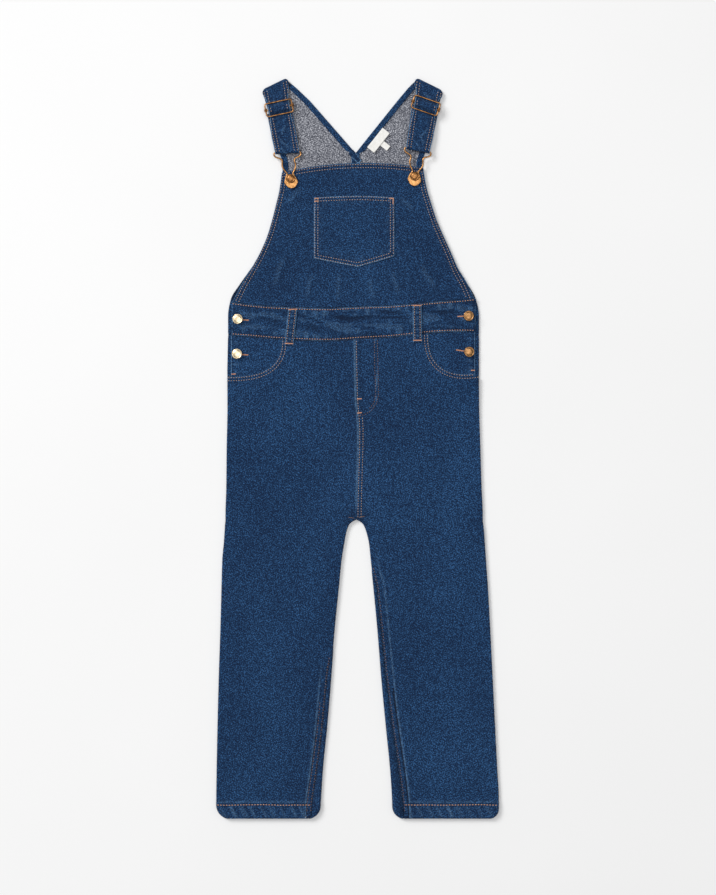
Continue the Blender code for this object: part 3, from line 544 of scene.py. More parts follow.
def add_object(name, mesh):
    """An object, smooth shaded, that rides on the garment."""
    obj = bpy.data.objects.new(name, mesh)
    bpy.context.scene.collection.objects.link(obj)
    mesh.shade_smooth()
    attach(obj, "root")
    return obj


def run_lengths(grid):
    """Distance along each row of points from its first point."""
    steps = np.linalg.norm(np.diff(grid, axis=1), axis=2)
    return np.concatenate((np.zeros((len(grid), 1)), np.cumsum(steps, axis=1)), axis=1)


def runs_across_and_down(grid):
    return run_lengths(grid), run_lengths(grid.transpose(1, 0, 2)).T


def cut_of(grid):
    """Width, length and area of a grid opened out flat."""
    near_corner, far_corner = grid[:-1, :-1], grid[1:, 1:]
    area = sum(
        np.linalg.norm(np.cross(grid[1:, :-1] - corner, grid[:-1, 1:] - corner), axis=2).sum() / 2
        for corner in (near_corner, far_corner))
    across, down = runs_across_and_down(grid)
    return across[:, -1].max(), down[-1].max(), area


def make_sheet(name, grid, flip=False, thickness=CLOTH, grain=None, wear_and_shade=0.0, nodes=None,
               finish=None, roll=0.8):
    """A sheet from rows of points in mm, its grain as UVs, its wear and painted shade as an
    attribute.
    """
    grid = np.array(grid, float)
    down, across = grid.shape[:2]
    corners = np.arange(down * across).reshape(down, across)
    quads = np.stack(
        [corners[:-1, :-1], corners[:-1, 1:], corners[1:, 1:], corners[1:, :-1]], axis=-1
    ).reshape(-1, 4)
    if flip:
        quads = quads[:, ::-1]
    mesh = bpy.data.meshes.new(name)
    mesh.from_pydata((grid.reshape(-1, 3) * MM).tolist(), [], quads.tolist())
    grain = grid[..., :2] if grain is None else grain
    uvs = (np.array(grain, float).reshape(-1, 2) * MM)[quads.reshape(-1)]
    mesh.uv_layers.new(name="cloth").data.foreach_set("uv", uvs.reshape(-1).astype(np.float32))
    # Wear rubbed pale above 0, and painted shade below 0, for each point.
    worn = (np.zeros((down, across)) + wear_and_shade).reshape(-1).astype(np.float32)
    mesh.attributes.new("wear_and_shade", "FLOAT", "POINT").data.foreach_set("value", worn)
    for material in finish or (indigo_twill, grey_twill, raw_twill):
        mesh.materials.append(material)
    obj = add_object(name, mesh)
    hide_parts(*(nodes or [name.removesuffix("_cloth")]))
    over, under = runs_across_and_down(grid)
    from_edge = np.minimum.reduce([over, over[:, -1:] - over, under, under[-1:] - under])
    rounding = 1 - np.clip(from_edge / roll, 0, 1)
    shares = np.maximum(np.sqrt(1 - rounding**2), 0.3).reshape(-1)
    group = obj.vertex_groups.new(name="wall")
    group.add(np.nonzero(shares >= 1)[0].tolist(), 1.0, "REPLACE")
    for index in np.nonzero(shares < 1)[0]:
        group.add([int(index)], float(shares[index]), "REPLACE")
    wall = obj.modifiers.new("thickness", "SOLIDIFY")
    wall.thickness = thickness * MM
    wall.offset = 0
    wall.vertex_group = "wall"
    wall.material_offset = 1
    wall.material_offset_rim = 2
    width, length, area = sheets[name] = cut_of(grid)
    min(area, width * length) * MM * MM
    return obj


def tally(*objs):
    """Print what was made: the cut of each sheet and its faces."""
    for obj in objs:
        width, length, area = sheets[obj.name]
        print("  %s: cut %.0f x %.0f mm, %.0f cm2, %d faces" % (
            obj.name, width, length, area / 100, len(obj.data.polygons)))


print("a sheet's wall is %.1f mm thick" % CLOTH)

# %% [markdown]
# ## What the machine leaves
# Where a seam is felled, four layers lie under two rows of stitches: the cloth rises in a low
# ridge, dips at each row and puckers between the stitches. Hems twist as they are turned, which
# leaves a rope of slanting puckers. These small shapes decide how denim reads, so they are real
# geometry. All of them are worked out from lines on the pattern.

# %% Seam lines on the legs
SCOOP_ROWS = (1.3, 5.0)              # mm from the pocket's edge to its two rows of stitches
EDGE_ROWS = (1.9, 5.8)               # mm from a hemmed edge to its two rows of stitches
CENTRE_ROWS = (1.9, 5.9)             # mm from a centre seam to them
INSEAM_ROWS = (1.7, 6.4)             # mm from the inseam to them
NECK_ROWS = (2.0, 5.2)               # mm from the edge of the neck or armhole to them
HEM_STITCH = 17.3                    # mm above the foot of the leg
FLY_EDGE = [(20.9, 141), (21.6, 100), (22.6, 68), (20.6, 57), (15, 49.5), (7.4, 45), (1.5, 43)]
FLY_OUTER = [(24.6, 141), (25.6, 100), (26.2, 66), (23.6, 55), (17, 46.5), (9, 41.8), (1.5, 40)]
CROTCH_MIDDLE = (-1.2, -88)
CROTCH_DRAGS = [
    # how far each turns from straight up, and its lift
    (0.5, 0.34), (0.95, -0.3), (1.45, 0.28),
]


def side_edge(side):
    """The side of the garment where the pocket ends."""
    return float(read(LEG_ROWS, SIDE_SEAM_TOP, LEG_COLUMNS[side][0]))


def scoop(side, grow=0.0, count=60):
    """Points along a pocket's edge from the waist seam round to the side, or `grow` outside it."""
    start, waist, depth, rise = POCKET_SCOOPS[side]
    edge = side_edge(side)
    angle = np.linspace(0, math.pi / 2, count)
    across = np.abs(np.cos(angle)) ** (2 / POCKET_ROUNDNESS)
    down = np.abs(np.sin(angle)) ** (2 / POCKET_ROUNDNESS)
    x = edge + (start - edge - FACING[side] * grow) * across
    return np.column_stack((x, waist - (depth + grow) * down + rise * (1 - across) ** 2))


def centre_x(y):
    return read(CENTRE_SEAM, y, 1)


def inseam_x(side, y):
    """The edge of the front panel along the inseam."""
    _, inside, inseam = LEG_COLUMNS[side]
    return read(LEG_ROWS, np.minimum(y, CROTCH), inside) + FACING[side] * read(LEG_ROWS, y, inseam)


def corner_cut(y, radius):
    """How far the side of a leg runs in at its rounded lower corner."""
    left = np.clip(radius - (y - HEM_FOOT), 0, radius)
    return float(radius - math.sqrt(radius**2 - left**2))


def leg_row(side, y):
    """The leg's outside, inside (or None above the crotch) and inseam at a height."""
    outside, inside, inseam = (float(read(LEG_ROWS, y, column)) for column in LEG_COLUMNS[side])
    if y > CROTCH:
        return outside, None, inseam
    outer_cut, inner_cut = (corner_cut(y, radius) for radius in CORNERS[side])
    if inner_cut > 0:
        inseam = max(inseam - inner_cut, 3.5)
    return outside - FACING[side] * outer_cut, inside + FACING[side] * inner_cut, inseam


def fold_height(x, y):
    """How far the largest soft folds raise the front at a point."""
    height = 0.0
    for fold_x, fold_y, half_length, half_width, degrees, rise in FOLDS:
        c, s = heading(degrees)
        lengthwise = (x - fold_x) * c + (y - fold_y) * s
        sideways = (y - fold_y) * c - (x - fold_x) * s
        height = height + rise * near(lengthwise, half_length) * near(sideways, half_width)
    return height


scoop_edges = {side: scoop(side) for side in SIDES}


def leg_height(x, y, side):
    """The middle of the front of a leg, over the facing and over the turned hem."""
    x, y = np.asarray(x, float), np.asarray(y, float)
    over_hem = STEP * smooth((HEM_FOOT + LEG_HEM + HEM_RAMP - y) / HEM_RAMP)
    near_edge, far_edge = POCKET_EASE
    distance = np.abs(line_distance(scoop_edges[side], x, y)[0])
    over_facing = STEP * smooth((far_edge - distance) / (far_edge - near_edge))
    return FRONT + over_hem + over_facing + fold_height(x, y) * smooth((y + 440) / 60)


def hem_puckers(x, y, seed):
    """(height, wear and painted shade) of the rope of slanting puckers along a turned leg hem."""
    up = y - HEM_FOOT
    inside = smooth(up / 3) * smooth((HEM_STITCH + 2.5 - up) / 3)
    rope = uneven(x + 0.55 * up, 12.5, seed) * 0.55 * inside
    above = uneven(x, 15, seed + 3) * 0.3 * near(up - HEM_STITCH - 3, 7)
    height = rope + above - 0.4 * near(up - HEM_STITCH, 1.1)
    # The rope's crests are rubbed pale; its troughs and the stitch line are darkened, partly unfaded
    # dye, partly painted shade.
    wear_and_shade = (0.14 + 0.1 * uneven(x, 70, seed)) * np.clip(rope / 0.3, -1.5, 1) * inside
    wear_and_shade = wear_and_shade + (0.2 + 0.14 * uneven(x, 21, seed)) * near(up - HEM_STITCH - 2.4, 1.0)
    return height, wear_and_shade - 0.4 * near(up - HEM_STITCH, 1.0)


def sew(height, wear_and_shade, distance, rows, dip, darkening, share=1.0):
    """Rows of stitches sink the cloth, and along them its colour is darkened: partly unfaded dye,
    partly painted shade in the dip.
    """
    for row in rows:
        line = share * near(distance - row, 0.9)
        height -= dip * line
        wear_and_shade -= darkening * line


def leg_relief(x, y, side, front):
    """Ridges, dips, puckers and creases of a leg's cloth, where its seams are rubbed pale and where
    its dips are darkened with painted shade.
    """
    facing, right = FACING[side], side == "right"
    seed = (3 if front else 9) + facing
    height, wear_and_shade = hem_puckers(x, y, seed)
    height += 0.2 * rumple(x, y, 46, seed, 8) + 0.08 * rumple(x, y, 17, seed + 20)
    # The centre seam, felled towards the right leg.
    from_centre = facing * (x - (centre_x(y) if front else BACK_CENTRE))
    present = smooth((y + 95) / 12)
    height += present * 0.16 * uneven(y, 9, seed) * near(from_centre, 7)
    wear_and_shade += present * 0.5 * near(from_centre - 0.6, 0.9) * (0.7 + 0.3 * uneven(y, 7, 2))
    if right:
        height += present * 0.5 * plateau(from_centre, 0.4, 7.2, 1.6)
        sew(height, wear_and_shade, from_centre, CENTRE_ROWS, 0.32, 0.45, present)
    if not front:
        return height, wear_and_shade
    # The inseam, felled and stitched from where its stitches show.
    into = facing * (x - inseam_x(side, y))
    present = smooth(((-112 if right else -250) - y) / 60)
    height += present * 0.5 * plateau(into, 0.6, 7.6, 1.8)
    height += present * 0.22 * uneven(y, 10, seed + 5) * near(into - 4, 6)
    wear_and_shade += present * (0.3 + 0.16 * uneven(y, 19, 5)) * near(into - 8.2, 1.3)
    sew(height, wear_and_shade, into, INSEAM_ROWS, 0.3, 0.35, present)
    # The pocket's edge.
    from_scoop, along = line_distance(scoop_edges[side], x, y)
    from_scoop = np.abs(from_scoop)
    height += 0.28 * uneven(along, 8, seed) * near(from_scoop - 3, 5)
    height -= 0.25 * near(from_scoop - 9.5, 2.2)
    wear_and_shade += 0.45 * near(from_scoop, 0.9) * (0.65 + 0.35 * uneven(along, 6, 1))
    sew(height, wear_and_shade, from_scoop, SCOOP_ROWS, 0.34, 0.35)
    if right:
        edge, along = line_distance(FLY_EDGE, x, y)
        outer = line_distance(FLY_OUTER, x, y)[0]
        height += 0.3 * plateau(-outer, -0.5, 60, 2.2) * smooth((y - 38) / 4)
        height += 0.14 * uneven(along, 8, 4) * near(edge - 1.5, 5)
        wear_and_shade += 0.3 * near(edge - 2, 0.8)
        sew(height, wear_and_shade, edge, (0,), 0.34, 0.5)
        sew(height, wear_and_shade, outer, (0,), 0.34, 0.45)
    # Round the crotch four seams meet: the cloth is drawn in, and its colour is darkened there,
    # partly unfaded dye, partly painted shade.
    from_x, from_y = x - CROTCH_MIDDLE[0], y - CROTCH_MIDDLE[1]
    for drag, lift in CROTCH_DRAGS:
        c, s = heading(90 - facing * 42 * drag)
        height += lift * near(from_x * c + from_y * s - 4, 26) * near(from_y * c - from_x * s, 4.2)
    wear_and_shade -= 0.5 * near(from_x, 16) * near(from_y, 12)
    waist_line = read(WAIST, np.clip(x, -162, 152), 2)
    height += 0.36 * uneven(x, 13, seed + 2) * near(y - waist_line, 11)
    return height, wear_and_shade


print("seam lines: %d points on a pocket's edge" % len(scoop_edges["left"]))

# %% [markdown]
# ## The legs
# A trouser leg is a front and a back joined at the outside and the inseam. Laid flat, each side
# rolls round in a soft fold, and on the inside of the leg the back shows as a narrow strip beyond
# the front, because the inseam has been pulled towards the front. The leg's foot is turned up
# inside, which is the hem. A section across the leg is worked out for every few millimetres of
# its length.

# %% Sections of a leg
LEG_STEP = 2.7                       # mm between the rows of a leg's grid
BANDS = np.array((0.0, 0.5, 1.1, 2.0, 3.2, 4.6, 6.2))  # mm in from an edge, where it wears
SIDE_COLUMNS = 6                     # columns of a button stand, or of the seam's edge below it
HAIR = 0.004                         # mm between those columns where they run down the edge


def round_fold(edge, facing, low, high, angles):
    """Points (x, z) round a side fold: 0 degrees is its lowest point and 180 its highest."""
    radius = (high - low) / 2
    turns = np.radians(angles)
    x = edge - facing * (radius + CLOTH / 2 - radius * np.sin(turns))
    return np.column_stack((x, low + radius * (1 - np.cos(turns))))


def to_seam(low, high, above):
    """Degrees round a side fold to the edge of the panel below or above its seam."""
    gap = math.degrees(FOLD_SEAM / ((high - low) / 2))
    return 90 + gap if above else 90 - gap


def at_height(points, y):
    """A section's points (x, z) placed across the leg at y."""
    return np.column_stack((points[:, 0], np.full(len(points), y), points[:, 1]))


def leg_levels(top):
    """(y, inset) of each section down to the hem's fold and back up inside it."""
    radius = STEP / 2
    fold = HEM_FOOT + CLOTH / 2 + radius
    levels = [(y, 0.0) for y in np.linspace(top, fold, int((top - fold) / LEG_STEP))]
    for angle in np.radians((20, 45, 70, 90, 110, 135, 160, 180)):
        levels.append((fold - radius * math.sin(angle), radius * (1 - math.cos(angle))))
    return levels + [(y, STEP) for y in np.linspace(fold + 2, HEM_FOOT + LEG_HEM, 7)]


def shown_strip(inseam):
    """0 where the inseam lies at the leg's inner fold, 1 where the back shows beyond it."""
    return smooth((inseam - 1.0) / 2.5)


def back_section(side, y, inset):
    """From the centre seam or the inseam to the flat, and on to the side seam or button stand."""
    outside, inside, inseam = leg_row(side, y)
    facing, low = FACING[side], GROUND + inset
    if inside is None:
        end = float(centre_x(y)) + facing * SEAM_HALF
        inner = np.column_stack((end + facing * np.linspace(0, 6, 9), np.full(9, low)))
    else:
        top = float(leg_height(inside, y, side)) - inset
        shown = shown_strip(inseam)
        first = to_seam(low, top, False) * (1 - shown) + 180 * shown
        fold = round_fold(inside + facing * inset, -facing, low, top, np.linspace(first, 0, 8))
        strip = (blend(fold[0, 0], inside + facing * max(inseam, 0.01), shown),
                 blend(fold[0, 1], top, shown))
        inner = np.vstack((strip if shown > 0 else fold[0], fold))
    if y >= STAND_FOOT:
        fold = round_fold(outside, facing, GROUND, TURNED, np.linspace(0, 180, 8))
        reach = np.linspace(3, BUTTON_STAND, SIDE_COLUMNS)
        stand = np.column_stack((outside - facing * reach, np.full(SIDE_COLUMNS, TURNED)))
    else:
        high = float(leg_height(outside, y, side)) - inset
        angles = np.linspace(0, to_seam(low, high, False), 8)
        fold = round_fold(outside - facing * inset, facing, low, high, angles)
        # Below the button stand its columns run down the seam's edge, a hair apart.
        stand = fold[-1] + np.outer(np.arange(1, SIDE_COLUMNS + 1), (0, HAIR))
    return inner, np.vstack((fold, stand)), low


def make_back_leg(side):
    """The back of a leg, resting on the surface, with a few creases pressed into it."""
    rows, wear_and_shade = [], []
    for y, inset in leg_levels(BACK_WAIST - SEAM_HALF):
        inner, outer, low = back_section(side, y, inset)
        xs = np.linspace(inner[-1, 0], outer[0, 0], 58)[1:-1]
        # pale holds the wear rubbed pale, and below 0 painted shade.
        relief, pale = leg_relief(xs, np.full(len(xs), float(y)), side, False)
        ease = smooth((xs - xs.min()) / 8) * smooth((xs.max() - xs) / 8)
        # The back rests on the surface, so only its dips show, as hollows under the leg.
        flat = np.column_stack((xs, low + np.clip(0.9 * relief, 0, 0.7) * ease * (inset == 0)))
        rows.append(at_height(np.vstack((inner, flat, outer)), y))
        wear_and_shade.append(np.concatenate((np.zeros(len(inner)), pale, np.zeros(len(outer)))))
    return make_sheet(f"leg_back_{side}_cloth", rows, side == "left", wear_and_shade=np.array(wear_and_shade))


def front_section(side, y, inset, columns):
    """From the centre seam or the inseam, over the leg, to the side seam."""
    outside, inside, inseam = leg_row(side, y)
    facing, low = FACING[side], GROUND + inset
    high = float(leg_height(outside, y, side)) - inset
    folded = np.linspace(to_seam(low, high, True), 180, 6)[::-1]
    outer = round_fold(outside - facing * inset, facing, low, high, folded)
    if inside is None:
        start = float(centre_x(y)) + facing * SEAM_HALF
    else:
        top = float(leg_height(inside, y, side)) - inset
        shown = shown_strip(inseam)
        fold = round_fold(inside + facing * inset, -facing, low, top, to_seam(low, top, True))
        start = blend(fold[0, 0], inside + facing * (inseam + 2 * GAP), shown)
    width = abs(outer[0, 0] - start)
    xs = start + facing * columns * width
    xs[:len(BANDS)] = start + facing * BANDS
    ys = np.full(len(xs), float(y))
    # pale holds the wear rubbed pale, and below 0 painted shade.
    relief, pale = leg_relief(xs, ys, side, True)
    ease = smooth((width - np.abs(xs - start)) / 5)
    z = leg_height(xs, ys, side) - inset + relief * ease * (inset == 0)
    if inside is not None:
        # The top of the inner fold, where the panel rolls down to its seam beside the crotch.
        radius = (top - low) / 2
        drop = radius * np.clip(1 - np.abs(xs - inside) / (radius + 0.6), 0, 1)
        z -= (1 - shown) * (radius - np.sqrt(np.maximum(radius**2 - drop**2, 0)))
    row = at_height(np.vstack((np.column_stack((xs, z)), outer[1:])), y)
    return row, np.concatenate((pale, np.zeros(len(outer) - 1)))


def top_edge(side, hip_runs):
    """Where the columns of the hip row end, along the waist seam and the pocket's edge."""
    seam_end = float(centre_x(BACK_WAIST)) + FACING[side] * SEAM_HALF
    waist_x = np.linspace(seam_end, POCKET_SCOOPS[side][0], 40)
    along_waist = np.column_stack((waist_x, read(WAIST, waist_x, 2) - SEAM))
    path = np.vstack((along_waist, scoop_edges[side][1:-2]))
    runs = runs_along(path)
    corner = runs[len(along_waist) - 1]
    at_corner = int(np.argmin(np.abs(hip_runs / hip_runs[-1] - corner / runs[-1])))
    at = np.interp(hip_runs, [0, hip_runs[at_corner], hip_runs[-1]], [0, corner, runs[-1]])
    at[:len(BANDS)] = hip_runs[:len(BANDS)]
    return np.column_stack([np.interp(at, runs, column) for column in path.T])


def make_front_leg(side):
    """Straight rows from the hem to the hip, then rows that fan out to the waist and pocket."""
    columns = np.concatenate((np.zeros(len(BANDS)), np.linspace(0, 1, 64)[3:]))
    flat = len(columns)
    sections = [front_section(side, y, inset, columns) for y, inset in leg_levels(HIP)]
    rows, wear_and_shade = [row for row, _ in sections], [pale for _, pale in sections]
    hip = rows[0]
    top = top_edge(side, np.abs(hip[:flat, 0] - hip[0, 0]))
    side_row = front_section(side, SIDE_SEAM_TOP - SEAM, 0, columns)[0][flat:]
    lengths = np.linalg.norm(top - hip[:flat, :2], axis=1)
    shares = [1 - ahead / lengths for ahead in BANDS]
    shares += [part * (1 - 6.6 / lengths) / 0.9 for part in np.linspace(0.9, 0.04, 30)]
    for share in reversed(shares):
        x, y = blend(hip[:flat, :2], top, share[:, None]).T
        # pale holds the wear rubbed pale, and below 0 painted shade.
        relief, pale = leg_relief(x, y, side, True)
        z = leg_height(x, y, side) + relief * smooth(np.abs(hip[flat - 1, 0] - x) / 5)
        fold = blend(hip[flat:], side_row, share[-1])
        rows.insert(0, np.vstack((np.column_stack((x, y, z)), fold)))
        wear_and_shade.insert(0, np.concatenate((pale, np.zeros(len(fold)))))
    return make_sheet(f"leg_front_{side}_cloth", rows, side == "right", wear_and_shade=np.array(wear_and_shade))


legs = {}
for side in SIDES:
    legs[side] = (make_back_leg(side), make_front_leg(side))
    tally(*legs[side])

# %% [markdown]
# ## Hems on a panel
# The bib, its pocket, the loops and the straps all have their edges turned under and stitched
# twice. `hemmed` gives any grid that look: a low ridge as wide as the hem, a dip under each row
# of stitches, puckers along it and a pale rubbed edge.


# %% Hemmed edges and pressed creases
def stations(low, high, count, bands=BANDS):
    """`count` values from low to high, close together near both ends."""
    length = abs(high - low)
    inner = np.linspace(bands[-1], length - bands[-1], count - 2 * len(bands) + 2)
    steps = np.concatenate((bands[:-1], inner, (length - bands[:-1])[::-1]))
    return low + math.copysign(1, high - low) * steps


def hemmed(grid, edges, rows=EDGE_ROWS, ridge=0.4, hem=7.6, pucker=0.24, period=9, pale=0.8,
           seed=0):
    """(height, wear and painted shade) of turned and stitched edges: start and end of rows, first and
    last row.
    """
    across, down = runs_across_and_down(grid)
    known = {
        "start": (across, down), "end": (across[:, -1:] - across, down),
        "first": (down, across), "last": (down[-1:] - down, across),
    }
    rise, dip, pull, wear_and_shade = (np.zeros(grid.shape[:2]) for _ in range(4))
    for number, edge in enumerate(edges):
        distance, along = known[edge]
        rise = np.maximum(rise, plateau(distance, -2, hem, 1.8))
        for row in rows:
            dip = np.maximum(dip, near(distance - row, 0.95))
        pull = pull + uneven(along, period, seed + number) * near(distance - 4, 6)
        pale_here = near(distance, 0.9) * (0.72 + 0.28 * uneven(along, 7, seed + 4 * number))
        wear_and_shade = np.maximum(wear_and_shade, pale * pale_here)
    # The stitch dips are darkened as painted shade, and the puckers turn paler as they rise and
    # darker as they sink.
    return ridge * rise - 0.34 * dip + pucker * pull, wear_and_shade + 0.2 * pull - 0.5 * dip * (wear_and_shade < 0.3)


def creased(x, y, creases):
    """Soft troughs pressed into cloth, each with a low ridge along its left side."""
    height = 0.0 * x
    for x0, y0, x1, y1, depth, width in creases:
        length = math.hypot(x1 - x0, y1 - y0)
        run = ((x - x0) * (x1 - x0) + (y - y0) * (y1 - y0)) / length
        off = ((y - y0) * (x1 - x0) - (x - x0) * (y1 - y0)) / length
        off = off + width * 0.5 * uneven(run, length * 1.3, depth * 7)
        ends = smooth(run / (0.3 * length)) * smooth((length - run) / (0.3 * length))
        height = height + ends * depth * (0.6 * near(off - 1.5 * width, width) - near(off, width))
    return height


print("stations across 40 mm:", np.round(stations(0, 40, 16), 1))

# %% [markdown]
# ## The pocket's inside and the waistband
# Behind each scooped pocket the hip is filled by a facing of the same denim, and its side edge is
# the edge of the button opening. The waistband is two strips with the seam allowances between
# them, so it is thick, and it has shrunk on its inner layers in the wash: that is what presses
# the long level wrinkles into it.

# %% Facings and waistband
FACING_CREASES = [(150, 132, 118, 110, 0.35, 3), (128, 138, 112, 118, 0.3, 3)]
BAND_CREASES = [
    # x0, y0, x1, y1, depth, half width
    (-40, 164, 74, 163, 0.75, 1.5), (-76, 167, -38, 155, 0.55, 1.7), (-34, 152, 30, 150, 0.42, 1.8),
    (84, 170, 132, 171, 0.7, 1.5), (84, 150, 140, 148, 0.45, 1.7), (-132, 163, -92, 158, 0.4, 1.9),
    (22, 171, 62, 169, 0.45, 1.5), (-120, 148, -94, 147, 0.32, 1.7), (36, 155, 66, 158, 0.42, 1.6),
    (-66, 158, -48, 148, 0.5, 1.5), (8, 157, 44, 158, 0.4, 1.5), (-20, 169, 12, 170, 0.35, 1.5),
]
ALL_EDGES = ("start", "end", "first", "last")


def make_facing(side):
    facing = FACING[side]
    _, waist, depth, _ = POCKET_SCOOPS[side]
    outline = scoop(side, POCKET_UNDERLAP)
    edge = side_edge(side) - facing * OPENING_EDGE
    rows = []
    for share in stations(0, depth, 26) / depth:
        y = waist - depth * share
        xs = stations(float(np.interp(-y, -outline[:, 1], outline[:, 0])), edge, 30)
        ys = y + (read(WAIST, xs, 2) - SEAM - waist) * (1 - share)
        rows.append(np.column_stack((xs, ys, np.full(len(xs), FRONT))))
    grid = np.array(rows)
    height, wear_and_shade = hemmed(grid, ("end",), rows=(1.8,), ridge=0.25, hem=9, pale=0.75, seed=2)
    x, y = grid[..., 0], grid[..., 1]
    height = height + creased(x, y, [
        (facing * x0 - 5, y0, facing * x1 - 5, y1, depth, width)
        for x0, y0, x1, y1, depth, width in FACING_CREASES])
    grid[..., 2] += height + 0.18 * rumple(x, y, 26, 31 + facing)
    return make_sheet(f"pocket_facing_{side}_cloth", grid, side == "right", wear_and_shade=wear_and_shade)


def make_waistband():
    xs = stations(*BAND_ENDS, 136)
    level = np.full(len(xs), FRONT - CLOTH / 2 + BAND / 2)
    grid = np.array([
        np.column_stack((xs, blend(read(WAIST, xs, 2), read(WAIST, xs, 1), share), level))
        for share in stations(0, 42, 25) / 42])
    height, wear_and_shade = hemmed(grid, ALL_EDGES, rows=(1.8,), ridge=0.0, pucker=0.34, period=13,
                          pale=0.45, seed=5)
    x, y = grid[..., 0], grid[..., 1]
    wrinkles = 1.5 * creased(x, y, BAND_CREASES) + 0.34 * rumple(x, y, 20, 41, 84)
    under_loop = sum(near(x - spot[0], 9) for spot in BELT_LOOPS.values())
    free = (wrinkles + 0.3 * rumple(x, y, 60, 44)) * (1 - 0.7 * under_loop)
    grid[..., 2] += 0.3 + height + free
    # The troughs of the wrinkles are darkened with painted shade; their crests are only a little
    # paler.
    wear_and_shade = wear_and_shade + np.clip(1.2 * wrinkles, -0.9, 0.08)
    return make_sheet("waistband_front_cloth", grid, thickness=BAND, wear_and_shade=wear_and_shade, roll=1.5)


facings = [make_facing(side) for side in SIDES]
waistband = make_waistband()
tally(*facings, waistband)

# %% [markdown]
# ## The bib and its patch pocket
# The bib is one piece with its top and sides turned under. The pocket is stitched on over it, so
# it is worked out from the bib's own height at each point and moved out by one layer. Light
# ripples stand over the waist seam, where the bib was eased into the band.

# %% Bib, pocket and belt loops
BIB_CREASES = [
    (-100, 196, -84, 240, 0.3, 3.4), (-58, 184, -50, 218, 0.3, 3.2), (-20, 180, -16, 222, 0.28, 3.0),
    (26, 184, 22, 216, 0.3, 3.2), (58, 190, 50, 226, 0.28, 3.4), (104, 200, 84, 236, 0.3, 3.6),
    (-86, 300, -64, 318, 0.26, 4.0), (76, 300, 60, 320, 0.24, 4.0),
]
POCKET_ROWS = (1.2, 4.8)
NARROW_BANDS = np.array((0, 0.4, 0.9, 1.6, 2.6))


def bib_height(x, y):
    """The middle of the bib's cloth before its hems."""
    height = FRONT + fold_height(x, y) + 1.4 * creased(x, y, BIB_CREASES)
    height = height + 0.2 * rumple(x, y, 40, 51, 5) + 0.09 * rumple(x, y, 16, 52)
    return height + 0.36 * uneven(x, 14, 6) * near(y - read(WAIST, x, 1), 13)


def bib_top_rise(across):
    """How far the bib's top edge rises over its last row, from left (0) to right (1)."""
    return BIB_TOP_BOW * 4 * across * (1 - across) + BIB_TOP_TILT * (2 * across - 1)


def make_bib():
    lowest, highest = BIB_ROWS[0][0], BIB_ROWS[-1][0]
    rows = []
    for y in stations(lowest, highest, 74):
        up = (y - lowest) / (highest - lowest)
        left, right = float(read(BIB_ROWS, y, 1)), float(read(BIB_ROWS, y, 2))
        xs = stations(left, right, 92)
        top = bib_top_rise((xs - left) / (right - left))
        ys = y + (read(WAIST, xs, 1) + SEAM - lowest) * (1 - up) ** 3 + top * up**3
        rows.append(np.column_stack((xs, ys, bib_height(xs, ys))))
    grid = np.array(rows)
    height, wear_and_shade = hemmed(grid, ("start", "end", "last"), pale=0.5, seed=1)
    grid[..., 2] += height
    # The creases' troughs are darkened with painted shade, and their ridges are rubbed a little
    # paler.
    wear_and_shade = wear_and_shade + np.clip(0.6 * creased(grid[..., 0], grid[..., 1], BIB_CREASES), -0.4, 0.2)
    return make_sheet("bib_front_cloth", grid, wear_and_shade=wear_and_shade)


def make_bib_pocket():
    table = np.array(BIB_POCKET)
    left, middle, right = table[[0, 2, 4], 0]
    xs = np.concatenate((stations(left, middle, 28), stations(middle, right, 24)[1:]))
    bottom, top = np.interp(xs, table[:, 0], table[:, 2]), swept(xs, table[:, 0], table[:, 1])
    rows = []
    for share in stations(0, 80, 38) / 80:
        ys = blend(bottom, top, share)
        rows.append(np.column_stack((xs, ys, bib_height(xs, ys) + STEP)))
    grid = np.array(rows)
    height, wear_and_shade = hemmed(grid, ALL_EDGES, rows=POCKET_ROWS, ridge=0.3, hem=7, pucker=0.14,
                          pale=0.75, seed=8)
    _, low_wear_and_shade = hemmed(grid, ("first",), pale=0.95, seed=9)
    grid[..., 2] += height + 0.14 * rumple(grid[..., 0], grid[..., 1], 24, 61)
    return make_sheet("bib_pocket_cloth", grid, wear_and_shade=np.maximum(wear_and_shade, low_wear_and_shade))


def make_belt_loop(side):
    top, foot = np.array(BELT_LOOPS[side][:2]), np.array(BELT_LOOPS[side][2:])
    length = float(np.linalg.norm(top - foot))
    run = (top - foot) / length
    half = BELT_LOOP_WIDTH / 2
    offsets = stations(-half, half, 15, NARROW_BANDS)
    rows, grain = [], []
    for along in stations(0, length, 34):
        share = along / length
        rise = 0.75 * smooth(share / 0.22) * smooth((1 - share) / 0.22)
        crown = 0.3 * (1 - (offsets / half) ** 2) * smooth(share / 0.2) * smooth((1 - share) / 0.2)
        points = foot + run * along - offsets[:, None] * left_of(run)
        rows.append(np.column_stack((points, BELT_LOOP_LEVEL + rise + crown)))
        grain.append(np.column_stack((offsets, np.full(len(offsets), along))))
    grid = np.array(rows)
    height, wear_and_shade = hemmed(grid, ("start", "end"), rows=(2.0,), ridge=0.0, pucker=0.16, period=7,
                          pale=0.9, seed=12)
    grid[..., 2] += height
    return make_sheet(f"belt_loop_{side}_cloth", grid, thickness=1.5, wear_and_shade=wear_and_shade,
                      grain=np.array(grain))


bib, bib_pocket = make_bib(), make_bib_pocket()
loops = [make_belt_loop(side) for side in SIDES]
tally(bib, bib_pocket, *loops)

# %% [markdown]
# ## The upper back
# The back rises to the shoulders in two halves with a V neck between them. It is seen from its
# wrong side, grey with blue flecks, and its neck and armhole hems are turned in, so a dark band of
# the right side frames it. One sheet does both: the right side is slot one and the wrong side is
# slot two, and the hem's fold turns one over the other.

